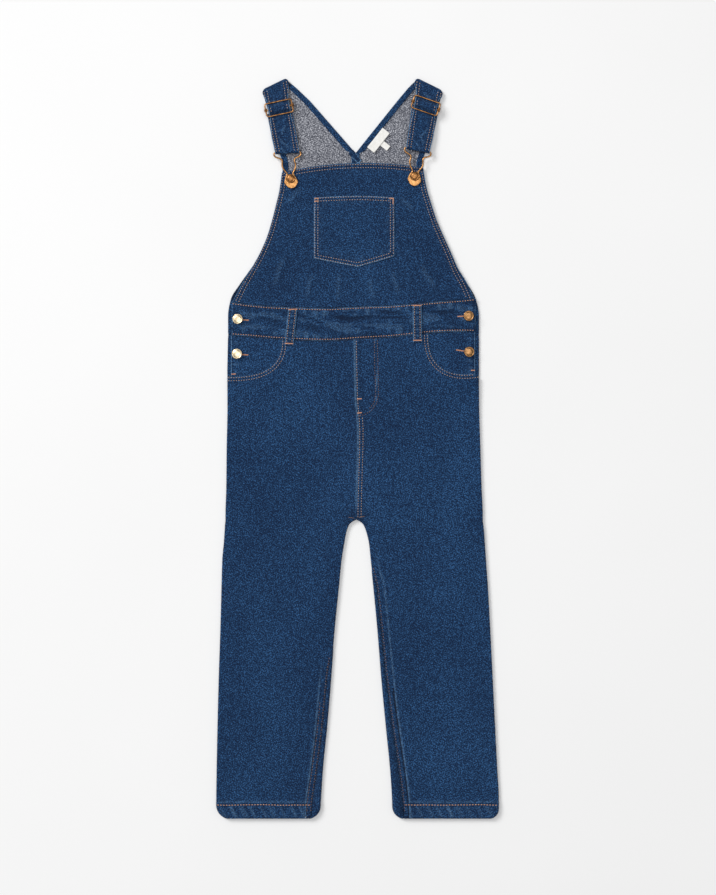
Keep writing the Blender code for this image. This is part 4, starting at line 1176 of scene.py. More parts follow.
# %% Back halves
TURN_COLUMNS = 17                    # of a turned edge: 8 on its flap and 9 round its fold
LAP_LINE = ((-8.6, 370.4), (3.0, 357.3))
LAP_SECTION = [
    # across and up: the flap's end, its fold, and half of the top; the rest mirrors it
    (-1.4, -0.8), (-2.4, -0.8), (-3.2, -0.7), (-3.5, -0.4), (-3.3, -0.1), (-2.8, 0.05),
    (-1.9, 0.1), (-0.9, 0.1), (0, 0.1),
]


def turned_edge(corner, inward, width):
    """Points in from the end of a turned hem, round its fold, to the layer beneath."""
    radius = STEP / 2
    middle = corner + inward * (radius + CLOTH / 2)
    points = [(*(corner + inward * reach), TURNED)
              for reach in np.linspace(width, radius + CLOTH / 2 + 0.2, 8)]
    for turn in np.radians(np.linspace(180, 0, 9)):
        points.append((*(middle - inward * radius * math.sin(turn)),
                       GROUND + radius * (1 - math.cos(turn))))
    return np.array(points)


def back_edges(side):
    """The outer and inner edge of a back half, point by point from its foot to the shoulder."""
    outside, inside = BACK_COLUMNS[side]
    table = np.array(BACK_ROWS, float)
    known = np.arange(len(table))
    lengths = np.linalg.norm(np.diff(table[:, [outside, 2]], axis=0), axis=1)
    at = np.concatenate([np.linspace(i, i + 1, max(int(run / 3.2), 2), endpoint=False)
                         for i, run in enumerate(lengths)] + [[known[-1]]])
    outer = np.column_stack([swept(at, known, table[:, column]) for column in (outside, 2)])
    inner = np.column_stack([np.interp(at, known, table[:, column]) for column in (inside, 5)])
    inner[:, 0] += FACING[side] * SEAM_HALF
    outer[0, 1] += SEAM_HALF
    inner[0, 1] += SEAM_HALF
    return outer, inner


def make_back(side):
    outer, inner = back_edges(side)
    along_outer, along_inner = (
        np.array([unit(edge[min(i + 1, len(edge) - 1)] - edge[max(i - 1, 0)])
                  for i in range(len(edge))]) for edge in (outer, inner))
    parts = np.linspace(0, 1, 34)[1:-1, None]
    ease = (smooth(parts * 6) * smooth((1 - parts) * 6))[:, 0]
    worn_fold = near(np.arange(TURN_COLUMNS) - 12.5, 1.6)
    rows, wear_and_shade = [], []
    for i, (out_point, in_point) in enumerate(zip(outer, inner)):
        across = unit(in_point - out_point)
        out_slant, in_slant = (
            abs(across[0] * along[1] - across[1] * along[0])
            for along in (along_outer[i], along_inner[i]))
        stand = float(smooth((205 - out_point[1]) / (205 - STAND_TOP)))
        in_neck = in_point[1] > NECK_FOOT
        armhole = turned_edge(out_point, across, blend(NECK_HEM / out_slant, BUTTON_STAND, stand))
        neckline = turned_edge(in_point, -across,
                               NECK_HEM / in_slant if in_neck else CENTRE_ALLOWANCE)[::-1]
        middle = blend(armhole[-1], neckline[0], parts)
        x, y = middle[:, 0], middle[:, 1]
        relief = 0.22 * rumple(x, y, 38, 71 + FACING[side], 75) + 0.1 * rumple(x, y, 15, 73)
        middle[:, 2] += np.clip(relief + 0.12, 0, 0.6) * ease
        for part, corner, slant, period in (
                (armhole, out_point, out_slant, 10), (neckline, in_point, in_slant, 9)):
            reach = np.linalg.norm(part[:, :2] - corner, axis=1) * slant
            dips = sum(near(reach - row, 0.7) for row in NECK_ROWS)
            pull = 0.14 * uneven(out_point[1] * 1.3, period, FACING[side]) * near(reach - 3.4, 3)
            part[:, 2] += np.where(part[:, 2] > TURNED - 0.05, pull - 0.2 * dips, 0)
        rows.append(np.vstack((armhole, middle, neckline)))
        neck_wear = 0.3 * worn_fold[::-1]
        if not in_neck and in_point[1] > 340:
            neck_wear[-1] = max(neck_wear[-1], 0.8)  # the raw end of the allowance has frayed
        # Beside the bib the armhole hem is painted dark: painted shade cast by the bib.
        shaded = float(smooth((226 - out_point[1]) / 14) * smooth((out_point[1] - 182) / 5))
        shaded = shaded * (np.arange(TURN_COLUMNS) < 13)
        armhole_wear_and_shade = 0.3 * worn_fold * (1 - shaded) - 0.9 * shaded
        wear_and_shade.append(np.concatenate((armhole_wear_and_shade, np.zeros(len(middle)), neck_wear)))
    return make_sheet(f"back_{side}_cloth", rows, side == "left", wear_and_shade=np.array(wear_and_shade))


def make_centre_lap():
    """The end of the left neck hem, carried on past the bottom of the V, its edges turned under."""
    start, end = np.array(LAP_LINE)
    length = np.linalg.norm(end - start)
    run = unit(end - start)
    section = np.array(LAP_SECTION + [(-u, level) for u, level in LAP_SECTION[-2::-1]])
    opened = runs_along(section)
    pale = near(np.abs(section[:, 0]) - 3.4, 0.5)
    rows, grain, wear_and_shade = [], [], []
    for along in stations(0, length, 22, BANDS[:4]):
        taper = 1 - 0.25 * smooth((along / length - 0.4) / 0.6)
        level = TURNED + 2.0 + section[:, 1] + 0.2 * uneven(section[:, 0] + along, 9, 5)
        points = start + run * along + taper * section[:, :1] * left_of(run)
        rows.append(np.column_stack((points, level)))
        grain.append(np.column_stack((opened, np.full(len(opened), along))))
        frayed = near(length - along, 1.2) + pale * smooth((along - 4) / 3)
        wear_and_shade.append(np.clip(frayed, 0, 1) * (0.8 + 0.2 * uneven(along, 3, 4))
                    - 0.35 * (frayed < 0.2))
    return make_sheet("centre_back_lap_cloth", rows, True, thickness=0.7, wear_and_shade=np.array(wear_and_shade),
                      grain=np.array(grain), nodes=["back_left"])


backs = [make_back(side) for side in SIDES]
tally(*backs, make_centre_lap())

# %% [markdown]
# ## The shoulder straps
# Each strap is a stitched band that grows from the shoulder, folds over, threads down through the
# slider's frame and over its middle bar, goes round the bar of the hook and comes back up beneath
# itself. Its path is a short list of rows, and a smooth curve through them makes the bends.

# %% Straps
FOLD_CORNER = 5.5                    # mm, radius of the strap's corners where it folds over
STRAP_CREASES = [
    # across and along the strap from its fold, start and end, then depth
    (-9, 8, 7, 15, 0.3), (8, 48, -3, 62, 0.36), (-8, 58, 8, 76, 0.42), (-9, 70, 3, 84, 0.34),
]
BENDS = np.radians((30, 60, 90, 120, 150, 180))


def strap_line(side, distance, turn=None):
    """Where a line across the strap meets its two edges, at a distance from its end."""
    fold_out, fold_in, end_out, end_in, _ = (np.array(v, float) for v in STRAPS[side])
    middle_end = (end_out + end_in) / 2
    point = middle_end + unit((fold_out + fold_in) / 2 - middle_end) * distance
    across = end_in - end_out if turn is None else heading(turn)
    meets = []
    for end, fold in ((end_out, fold_out), (end_in, fold_in)):
        share, _ = np.linalg.solve(np.column_stack((fold - end, -across)), point - end)
        meets.append(end + (fold - end) * share)
    return meets


def strap_row(line, height, shift=0.0, pinch=0.0):
    """The two edge points of a row, moved towards the shoulder by `shift` and in by `pinch`."""
    across = unit(line[1] - line[0])
    up = left_of(across) * (1 if across[0] > 0 else -1)
    return [(*(line[0] + across * pinch + up * shift), height),
            (*(line[1] - across * pinch + up * shift), height)]


def strap_rows(side):
    """Edge points of the strap from its seam behind the shoulder to its end under the slider."""
    fold = [np.array(point, float) for point in STRAPS[side][:2]]
    turn = STRAPS[side][4]
    shoulder = BACK_ROWS[-1]
    outside, inside = BACK_COLUMNS[side]
    seam = [np.array((shoulder[outside], shoulder[2])), np.array((shoulder[inside], shoulder[5]))]
    low, over = STRAP / 2, FRONT - CLOTH / 2 + STRAP / 2
    radius = (over - low) / 2
    clear = STRAP / 2 + radius
    rows = [strap_row(seam, low, GAP), strap_row(fold, low, -clear)]
    for bend in BENDS:
        rows.append(strap_row(fold, low + radius * (1 - math.cos(bend)),
                              radius * math.sin(bend) - clear))
    under_bar = SLIDER_LEVEL - WIRE - GAP - STRAP / 2
    over_bar = SLIDER_LEVEL + WIRE + GAP + STRAP / 2
    half = SLIDER_SIZE[1] / 2
    high_bar = strap_line(side, SLIDER_PLACE + half, turn)
    rows.append(blend(rows[-1], strap_row(high_bar, over, 6), 0.5).tolist())
    pinch = SLIDER_PINCH * (1 + abs(turn + 3) / 12)
    for offset, height in (
            (half + 3, under_bar), (half - 2, under_bar + 0.2), (half * 0.4, over_bar - 0.5),
            (0, over_bar), (-half * 0.4, over_bar - 0.5), (-half + 2, under_bar + 0.2),
            (-half - 3, under_bar)):
        rows.append(strap_row(strap_line(side, SLIDER_PLACE + offset, turn), height, 0, pinch))
    for distance, height in ((26, under_bar), (9, under_bar + 0.6)):
        rows.append(strap_row(strap_line(side, distance), height))
    loop = WIRE + GAP + STRAP / 2
    for bend in (0, *BENDS):
        line = strap_line(side, loop + STRAP / 2 - loop * math.sin(bend))
        rows.append(strap_row(line, HOOK_LEVEL + loop * math.cos(bend)))
    for distance in (9, 28):
        rows.append(strap_row(strap_line(side, distance), over))
    rows.append(strap_row(strap_line(side, SLIDER_PLACE - 4, turn), over))
    return np.array(rows, float)


def make_strap(side):
    rows = strap_rows(side)
    middle = rows.mean(axis=1)
    runs = runs_along(middle)
    at = np.unique(np.concatenate((np.arange(0, runs[-1], 1.8), runs)))
    at = at[np.concatenate(([True], np.diff(at) > 0.25))]
    first, last = (np.stack([swept(at, runs, rows[:, edge, i]) for i in range(3)], axis=1)[:, None]
                   for edge in (0, 1))
    width = float(np.linalg.norm(rows[0, 1] - rows[0, 0]))
    across = stations(0, width, 27) / width
    grid = blend(first, last, across[None, :, None])
    # A stitched band can't fold to a sharp point, so its corners round off at the shoulder.
    to_fold = smooth(1 - np.abs(at - runs[4]) / 15)[:, None]
    into_corner = np.clip(FOLD_CORNER - np.minimum(across, 1 - across) * width, 0, FOLD_CORNER)
    drop = FOLD_CORNER - np.sqrt(FOLD_CORNER**2 - into_corner**2)
    grid[..., :2] += (drop * to_fold)[..., None] * unit(middle[-6, :2] - middle[4, :2])
    height, wear_and_shade = hemmed(grid, ("start", "end"), ridge=0.3, hem=7.4, pucker=0.18, period=8,
                          seed=15 if side == "left" else 18)
    offsets, along = np.meshgrid(across * width - width / 2, at)
    pressed = creased(offsets, along, [
        (-FACING[side] * u0, runs[8] + v0, -FACING[side] * u1, runs[8] + v1, depth, 1.5)
        for u0, v0, u1, v1, depth in STRAP_CREASES])
    height = height + 0.12 * rumple(offsets, along, 20, 81) + pressed
    # The creases' troughs are darkened with painted shade, and their ridges are rubbed a little
    # paler.
    wear_and_shade = wear_and_shade + np.clip(1.2 * pressed, -0.7, 0.2)
    normal = np.cross(np.gradient(grid, axis=1), np.gradient(grid, axis=0))
    normal /= np.linalg.norm(normal, axis=2)[..., None]
    # The visible run goes down towards the hook, so its outward side is where this points up.
    top = normal[np.argmin(abs(at - runs[12]))].mean(axis=0)[2]
    open_run = 0.35 + 0.65 * smooth((grid[..., 2] - 2.4) / 1.2)
    grid = grid + normal * math.copysign(0.8, top) * (height * open_run)[..., None]
    grid[..., 2] = np.maximum(grid[..., 2], STRAP / 2)
    return make_sheet(f"strap_{side}_cloth", grid, top < 0, thickness=STRAP, wear_and_shade=wear_and_shade,
                      grain=np.stack((offsets, along), axis=-1), roll=1.1,
                      finish=(indigo_twill, indigo_twill, raw_twill))


straps = [make_strap(side) for side in SIDES]
tally(*straps)

# %% [markdown]
# ## Buckles, hooks and buttons
# The slider is a rectangle of brass wire with a middle bar whose ends are wound round its sides.
# The hook is one bent wire: a bar in the strap's loop, two shoulders, a neck and a ring that slips
# over the button, with a stamped crescent behind it. A curve with a round bevel is the natural
# way to bend wire. Buttons are turned from a profile, as they were spun.

# %% Wire, plates and turned metal
SLIDER_CORNER = 2.6
COIL_RADIUS = 1.45
COIL_PITCH = 1.25
PLATE_NARROWING = 0.86
BUTTON_SIDES = 48
HEAD = [
    # radius and height as parts of the button's radius, from the foot of the shank to the middle
    (0.3, 0.0), (0.34, 0.02), (0.34, 0.2), (0.4, 0.29), (0.86, 0.33), (0.96, 0.37), (1.0, 0.43),
    (0.985, 0.49), (0.94, 0.535), (0.88, 0.545), (0.83, 0.53), (0.795, 0.505), (0.755, 0.5),
    (0.72, 0.515), (0.66, 0.545), (0.5, 0.575), (0.3, 0.59), (0.12, 0.595),
]
HEAD_TOP = 0.598


def new_piece(name, mesh, material, node_name):
    """A finished mesh as a piece that rides on the garment and stands for its CAD node."""
    mesh.materials.clear()
    mesh.materials.append(material)
    obj = add_object(name, mesh)
    mesh.set_sharp_from_angle(angle=math.radians(38))
    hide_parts(node_name)
    return obj


def curve_mesh(splines, radius, closed, extrude=0.0, flat=False, sides=5):
    """A mesh swept along points in mm: a round wire, or a flat plate with rounded edges."""
    curve = bpy.data.curves.new("sweep", "CURVE")
    curve.dimensions = "2D" if flat else "3D"
    if flat:
        curve.fill_mode = "BOTH"
        curve.extrude = extrude * MM
    curve.bevel_depth = radius * MM
    curve.bevel_resolution = sides
    curve.use_fill_caps = True
    for points in splines:
        spline = curve.splines.new("POLY")
        spline.points.add(len(points) - 1)
        for point, spot in zip(spline.points, points):
            point.co = (*[value * MM for value in spot], 1)
        spline.use_cyclic_u = closed
    helper = bpy.data.objects.new("sweep", curve)
    bpy.context.scene.collection.objects.link(helper)
    bpy.context.view_layer.update()
    graph = bpy.context.evaluated_depsgraph_get()
    mesh = bpy.data.meshes.new_from_object(helper.evaluated_get(graph))
    bpy.data.objects.remove(helper, do_unlink=True)
    bpy.data.curves.remove(curve)
    return mesh


def joined(name, *meshes):
    """Several meshes made one."""
    shape = bmesh.new()
    for mesh in meshes:
        shape.from_mesh(mesh)
        bpy.data.meshes.remove(mesh)
    bmesh.ops.remove_doubles(shape, verts=shape.verts, dist=1e-7)
    bmesh.ops.recalc_face_normals(shape, faces=shape.faces)
    made = bpy.data.meshes.new(name)
    shape.to_mesh(made)
    shape.free()
    return made


def hook_frame(side):
    """The middle of the hook's bar in the strap's loop, and the directions along it and down."""
    out_point, in_point = strap_line(side, WIRE + GAP + STRAP)
    return (out_point + in_point) / 2, unit(in_point - out_point), heading(HOOK_TURNS[side] - 90)


def make_slider(side):
    turn = STRAPS[side][4]
    middle = sum(strap_line(side, SLIDER_PLACE, turn)) / 2
    half_width, half_height = SLIDER_SIZE[0] / 2, SLIDER_SIZE[1] / 2
    along = heading(turn)

    def spot(u, v, lift=0.0):
        return (*(middle + along * u + left_of(along) * v), SLIDER_LEVEL + lift)

    outline = []
    for u, v, start in ((1, 1, 0), (-1, 1, 90), (-1, -1, 180), (1, -1, 270)):
        for degrees in np.linspace(start, start + 90, 7):
            c, s = heading(degrees) * SLIDER_CORNER
            outline.append(spot(u * (half_width - SLIDER_CORNER) + c,
                                v * (half_height - SLIDER_CORNER) + s))
    bar = [spot(u, 0, 0.05) for u in np.linspace(-half_width, half_width, 12)]
    coils = []
    for end in (-half_width, half_width):
        coils.append([])
        for turns in np.linspace(0, 3, 46):
            c, s = heading(360 * turns) * COIL_RADIUS
            coils[-1].append(spot(end + c, COIL_PITCH * (turns - 1.5), s))
    name = f"slider_{side}_wire"
    mesh = joined(name, curve_mesh([outline], 0.86, True), curve_mesh([bar], 0.8, False),
                  curve_mesh(coils, 0.6, False, sides=4))
    return new_piece(name, mesh, copper_wire, f"slider_{side}")


def make_hook(side):
    middle, across, down = hook_frame(side)
    mirrored = [(-u, v) for u, v in reversed(HOOK_OUTLINE[1:-1])]
    outline = resample(HOOK_OUTLINE + mirrored + HOOK_OUTLINE[:1], 0.8)[:-1]
    for _ in range(8):
        # Wire springs into even curves between the pins it is bent round.
        outline = outline / 2 + (np.roll(outline, 1, axis=0) + np.roll(outline, -1, axis=0)) / 4
    points = [(*(middle + across * u + down * v), HOOK_LEVEL + 0.35 * float(smooth((v - 24) / 6)))
              for u, v in outline]
    name = f"hook_{side}_wire"
    return new_piece(name, joined(name, curve_mesh([points], 0.95, True)), aged_brass,
                     f"hook_{side}")


def make_hook_plate(side):
    """A crescent with an ear at each end, bent down a little away from the button."""
    middle, across, down = hook_frame(side)
    outline = []
    for degrees in np.linspace(-12, 192, 41):
        ear = 0.9 * near(abs(degrees - 90) - 78, 9)
        c, s = heading(degrees) * (HOOK_PLATE_RADIUS + ear)
        outline.append((PLATE_NARROWING * c, HOOK_PLATE_MIDDLE + s))
    for degrees in np.linspace(165, 15, 25):
        c, s = heading(degrees) * (BIB_BUTTON_RADIUS + 0.6)
        outline.append((c, HOOK_TO_BUTTON + s))
    flat = [(*(middle + across * u + down * v), 0) for u, v in outline]
    mesh = curve_mesh([flat], 0.28, True, extrude=0.25, flat=True, sides=3)
    button_x, button_y = middle + down * HOOK_TO_BUTTON
    level = HOOK_LEVEL + WIRE + GAP + 0.5
    for vertex in mesh.vertices:
        away = math.hypot(vertex.co.x / MM - button_x, vertex.co.y / MM - button_y)
        vertex.co.z += (level - 0.09 * max(away - 7, 0) ** 1.3) * MM
    name = f"hook_plate_{side}_stamping"
    return new_piece(name, joined(name, mesh), aged_brass, f"hook_plate_{side}")


def make_button(name, x, y, base, radius, material, node_name, lift=1.0, tip=0.0, towards=0.0):
    """A shank button turned from its profile, tipped a little as it hangs on its thread."""
    steps, count = BUTTON_SIDES, len(HEAD)
    turns = 2 * math.pi * np.arange(steps) / steps
    verts = [(r * radius * math.cos(turn), r * radius * math.sin(turn), h * radius * lift)
             for r, h in HEAD for turn in turns]
    bottom, top = len(verts), len(verts) + 1
    verts += [(0, 0, HEAD[0][1] * radius * lift), (0, 0, HEAD_TOP * radius * lift)]
    faces = []
    for k in range(steps):
        after = (k + 1) % steps
        for ring in range(0, (count - 1) * steps, steps):
            faces.append((ring + k, ring + after, ring + steps + after, ring + steps + k))
        faces.append((bottom, after, k))
        faces.append((top, (count - 1) * steps + k, (count - 1) * steps + after))
    across = left_of(heading(towards))
    spin = Quaternion(Vector((*across, 0)), math.radians(tip))
    turned = [spin @ Vector(v) for v in verts]
    drop = min(v.z for v in turned)
    mesh = bpy.data.meshes.new(name)
    mesh.from_pydata([((v.x + x) * MM, (v.y + y) * MM, (v.z - drop + base) * MM) for v in turned],
                     [], faces)
    return new_piece(name, mesh, material, node_name)


metal = []
for side in SIDES:
    metal += [make_slider(side), make_hook(side), make_hook_plate(side)]
    middle, _, down = hook_frame(side)
    metal.append(make_button(
        f"bib_button_{side}_head", *(middle + down * HOOK_TO_BUTTON), FRONT + CLOTH / 2 + GAP,
        BIB_BUTTON_RADIUS, dark_brass, f"bib_button_{side}", 1.5))
for name, (x, y, cloth_top, tip, towards) in SIDE_BUTTONS.items():
    # The left buttons take the lighter copy of the same brass, as a painted highlight.
    button_metal = lit_brass_copy if name.endswith("left") else button_brass
    metal.append(make_button(f"{name}_head", x, y, cloth_top + GAP, BUTTON_RADIUS, button_metal, name,
                             tip=tip, towards=towards))
for piece in metal:
    print("  %s: %d faces" % (piece.name, len(piece.data.polygons)))

# %% [markdown]
# ## The neck label
# A woven label is a strip of satin with its ends folded under. It is sewn to the neck hem, and a
# smaller folded tab is caught beneath its edge. Both are left blank.

# %% Labels
LABEL_BANDS = NARROW_BANDS[:4]
TAB_FOLD = 0.22                      # mm, radius of the fold along the tab's edge


def label_rows(name, path):
    """Rows of points and grain for a label, from (along, height across it) in turn."""
    x, y, width, _, underside = NECK_LABELS[name]
    across = heading(LABEL_TURN)
    offsets = stations(-width / 2, width / 2, 15, LABEL_BANDS)
    rows, grain = [], []
    for along, height in path(offsets, width):
        points = (x, y) + along * left_of(across) + offsets[:, None] * across
        rows.append(np.column_stack((points, underside + height)))
        grain.append(np.column_stack((offsets, np.full(len(offsets), along))))
    return rows, np.array(grain)


def label_path(offsets, width):
    """Along the neck label: thicker over its folded ends, and lifted a little along one side."""
    half = NECK_LABELS["neck_label"][3] / 2
    for along in stations(-half, half, 32, NARROW_BANDS):
        folded = 0.3 * float(smooth((4.2 - (half - abs(along))) / 0.8))
        curl = 0.5 * (abs(along) / half) ** 4 + 0.35 * (offsets / width + 0.5) ** 2
        yield along, LABEL / 2 + folded + curl + 0.1 * uneven(offsets + along, 9, 2)


def tab_path(offsets, width):
    """Round the size tab: its upper layer, its fold and its lower layer."""
    end = NECK_LABELS["size_tab"][3] / 2
    level = np.linspace(end, TAB_FOLD - end, 10)
    around = [(s, TAB_FOLD * 2) for s in level]
    around += [(TAB_FOLD - end - TAB_FOLD * math.cos(turn), TAB_FOLD + TAB_FOLD * math.sin(turn))
               for turn in np.linspace(math.pi / 2, -math.pi / 2, 7)[1:-1]]
    for along, rise in around + [(s, 0.0) for s in level[::-1]]:
        yield along, 0.15 + rise + 0.25 * np.maximum(offsets / width, 0)


def make_label(name, path, flip, thickness, roll):
    rows, grain = label_rows(name, path)
    return make_sheet(f"{name}_cloth", rows, flip, thickness=thickness, grain=grain,
                      finish=(label_satin,) * 3, roll=roll)


tally(make_label("neck_label", label_path, False, 0.5, 0.4),
      make_label("size_tab", tab_path, True, 0.3, 0.3))

# %% [markdown]
# ## Topstitching
# Topstitching is thick thread in stitches about 3 mm long that sink into the cloth at both ends.
# Each stitch here is a small spindle laid on the finished surface: a ray dropped from above finds
# the cloth's height, so stitches follow every pucker. The spindles of one thread are one mesh.

# %% Laying thread on cloth
THREAD_SIDES = 5
SPINDLE = ((0.0, -0.25, 0.35), (0.25, 0.1, 0.95), (0.75, 0.1, 0.95), (1.0, -0.25, 0.35))
FEELERS = (0.1, 0.5, 0.9)            # where along a stitch the height of the cloth is felt
STEEPEST = 1.2                       # mm of rise along a stitch past which it isn't laid


class Surface:
    """The finished top or underside of some sheets, to lay thread on."""

    def __init__(self, *sheets_here):
        points, polygons = [], []
        graph = bpy.context.evaluated_depsgraph_get()
        for obj in sheets_here:
            mesh = obj.evaluated_get(graph).to_mesh()
            start = len(points)
            points += [v.co.copy() for v in mesh.vertices]
            polygons += [[start + i for i in polygon.vertices] for polygon in mesh.polygons]
        self.tree = BVHTree.FromPolygons(points, polygons)

    def height(self, x, y, below=False):
        start = Vector((x * MM, y * MM, -0.05 if below else 0.05))
        hit = self.tree.ray_cast(start, Vector((0, 0, 1 if below else -1)))[0]
        return None if hit is None else hit.z / MM


def topstitch(line, pitch=3.2, length=1.9):
    """Both ends of each stitch along a line."""
    points = resample(line, pitch)
    share = length / pitch
    return [(a, a + (b - a) * share) for a, b in zip(points, points[1:])]


def bartack(x0, y0, x1, y1, width=1.7, pitch=0.45):
    """A dense bar of short stitches across the line from one point to another."""
    start, end = np.array((x0, y0), float), np.array((x1, y1), float)
    sideways = left_of(unit(end - start)) * width / 2
    count = max(int(np.linalg.norm(end - start) / pitch), 2)
    return [(blend(start, end, k / count) - sideways, blend(start, end, (k + 0.4) / count) + sideways)
            for k in range(count)]


def add_stitch(verts, faces, a, b, levels, way, width):
    """A spindle from a to b, whose middle lies at the levels felt along it."""
    first, run = len(verts), unit(b - a)
    for t, lift, girth in SPINDLE:
        x, y = a + (b - a) * t
        level = float(np.interp(t, FEELERS, levels)) + way * lift
        for k in range(THREAD_SIDES):
            turn = 2 * math.pi * k / THREAD_SIDES
            out, up = (girth * width / 2 * part for part in (math.cos(turn), math.sin(turn)))
            verts.append(((x - run[1] * out) * MM, (y + run[0] * out) * MM, (level + up) * MM))
    last = first + (len(SPINDLE) - 1) * THREAD_SIDES
    for low in range(first, last, THREAD_SIDES):
        for k in range(THREAD_SIDES):
            after = (k + 1) % THREAD_SIDES
            high = low + THREAD_SIDES
            faces.append((low + k, low + after, high + after, high + k))
    faces.append([first + k for k in reversed(range(THREAD_SIDES))])
    faces.append([last + k for k in range(THREAD_SIDES)])


def lay_thread(name, groups, material, width=0.72, below=False):
    """Every stitch of a thread as one mesh. A group is (surface, stitches)."""
    verts, faces, count = [], [], 0
    for surface, stitches in groups:
        for a, b in stitches:
            levels = [surface.height(*(a + (b - a) * t), below) for t in FEELERS]
            if None in levels or max(levels) - min(levels) > STEEPEST:
                continue
            add_stitch(verts, faces, a, b, levels, -1 if below else 1, width)
            count += 1
    mesh = bpy.data.meshes.new(name)
    mesh.from_pydata(verts, [], faces)
    shape = bmesh.new()
    shape.from_mesh(mesh)
    bmesh.ops.recalc_face_normals(shape, faces=shape.faces)
    shape.to_mesh(mesh)
    shape.free()
    mesh.materials.append(material)
    add_object(name, mesh)
    print("  %s: %d stitches, %d faces" % (name, count, len(faces)))


# %% Where the stitches run
def swept_line(points):
    """A line through a few points, drawn smooth from the lowest to the highest."""
    points = np.array(sorted(points, key=lambda point: point[1]), float)
    at = np.linspace(points[0, 1], points[-1, 1], 60)
    return np.column_stack((swept(at, points[:, 1], points[:, 0]), at))


def bib_top(inset):
    """The top edge of the bib, moved down."""
    highest, left, right = BIB_ROWS[-1]
    across = np.linspace(0.012, 0.988, 60)
    return np.column_stack((blend(left, right, across), highest + bib_top_rise(across) - inset))


def pocket_rows():
    """Stitch lines round the patch pocket, both rows."""
    table = np.array(BIB_POCKET)
    lines = []
    for inset in POCKET_ROWS:
        left, right = table[0, 0] + inset, table[-1, 0] - inset
        for x, corner, into in ((left, table[0], 0.2), (right, table[-1], -0.2)):
            lines.append([(x, corner[2] + 2 + inset * 0.6), (x + into, corner[1] - 0.5)])
        xs = np.linspace(left, right, 40)
        lines.append(np.column_stack((xs, swept(xs, table[:, 0], table[:, 1]) - inset)))
        bottom = table[:, [0, 2]] + (0, inset * 1.05)
        bottom[[0, -1], 0] = left, right
        bottom[[0, -1], 1] -= 0.3 * inset
        lines.append(bottom)
    return lines


def band_row(column, shift):
    xs = np.linspace(BAND_ENDS[0] + 1, BAND_ENDS[1] - 1, 90)
    return np.column_stack((xs, read(WAIST, xs, column) + shift))


def loop_rows(side):
    top_x, top_y, foot_x, foot_y = BELT_LOOPS[side]
    return [[(foot_x + shift, foot_y + 1.5), (top_x + shift, top_y - 1.5)]
            for shift in (-3.4, 3.4)]


def strap_edge_point(side, edge, distance, inset):
    """A point in from an edge of the strap, so far from its end, or beside the fold for None."""
    if distance is not None:
        line = strap_line(side, distance, STRAPS[side][4] if distance > 30 else None)
        return line[edge] + unit(line[1 - edge] - line[edge]) * inset
    fold, other, end = (np.array(STRAPS[side][i], float) for i in (edge, 1 - edge, 2 + edge))
    return fold + unit(other - fold) * inset + unit(end - fold) * 3


def strap_edge_rows(side):
    """Two rows in from each edge of the strap's visible run, broken under the slider."""
    low_side, high_side = (SLIDER_PLACE + way * SLIDER_SIZE[1] / 2 for way in (-1, 1))
    runs = ((3, low_side - 1.5), (low_side + 1.5, high_side - 1.5), (high_side + 1.5, None))
    return [[strap_edge_point(side, edge, distance, inset) for distance in run]
            for run in runs for inset in EDGE_ROWS for edge in (0, 1)]


def leg_seam(side, shift, low, high):
    """A line beside the front inseam, `shift` in from the panel's edge."""
    ys = np.linspace(high, low, 50)
    return np.column_stack((inseam_x(side, ys) + FACING[side] * shift, ys))


def hem_row(side):
    y = HEM_FOOT + HEM_STITCH
    left, right = sorted(float(read(LEG_ROWS, y, column)) for column in LEG_COLUMNS[side][:2])
    xs = np.linspace(left + 1.6, right - 1.6, 40)
    return np.column_stack((xs, y + 0.4 * uneven(xs, 90, 4)))


def centre_row(shift, low, high):
    ys = np.linspace(high, low, 40)
    return np.column_stack((centre_x(ys) + shift, ys))


def neck_and_armhole(lowest, ends=slice(None)):
    """Both rows round the neck and round each armhole, down to a height."""
    found = []
    for side in SIDES:
        outside, inside = BACK_COLUMNS[side]
        neck = [(row[inside], row[5]) for row in BACK_ROWS if row[5] > NECK_FOOT - 1]
        armhole = swept_line([(row[outside], row[2]) for row in BACK_ROWS if row[2] > lowest])
        for inset in NECK_ROWS:
            found += topstitch(offset_line(neck, -FACING[side] * inset)[2:-1])
            found += topstitch(offset_line(armhole, FACING[side] * inset)[ends])
    return found


def along_all(lines, **gauge):
    return [stitch for line in lines for stitch in topstitch(line, **gauge)]


front_legs = Surface(legs["left"][1], legs["right"][1], *facings)
back_all = Surface(legs["left"][0], legs["right"][0], *backs)
on_bib, on_pocket, on_band = Surface(bib), Surface(bib_pocket), Surface(waistband)
on_loops, on_straps, on_back = Surface(*loops), Surface(*straps), Surface(*backs)

bib_lines = []
for inset in EDGE_ROWS:
    for side, column in zip(SIDES, (1, 2)):
        edge = swept_line([(row[column], row[0]) for row in BIB_ROWS])
        bib_lines.append(offset_line(edge, FACING[side] * inset))
    bib_lines.append(bib_top(inset))
scoop_lines = [offset_line(scoop_edges[side], -FACING[side] * row)[1:]
               for side in SIDES for row in SCOOP_ROWS]
centre_lines = [centre_row(CENTRE_ROWS[0], -88, 134), centre_row(CENTRE_ROWS[1], -88, 38)]
inseam_lines = [leg_seam(side, row, HEM_FOOT + 8, top) for side, row, top in (
    ("left", INSEAM_ROWS[0], -262), ("left", INSEAM_ROWS[1], -318),
    ("right", INSEAM_ROWS[0], -150))]
fly_lines = [swept_line([(x, y) for x, y in FLY_EDGE if y > 45]), FLY_OUTER]
hem_stitches = along_all([hem_row(side) for side in SIDES], pitch=3.6, length=2.6)
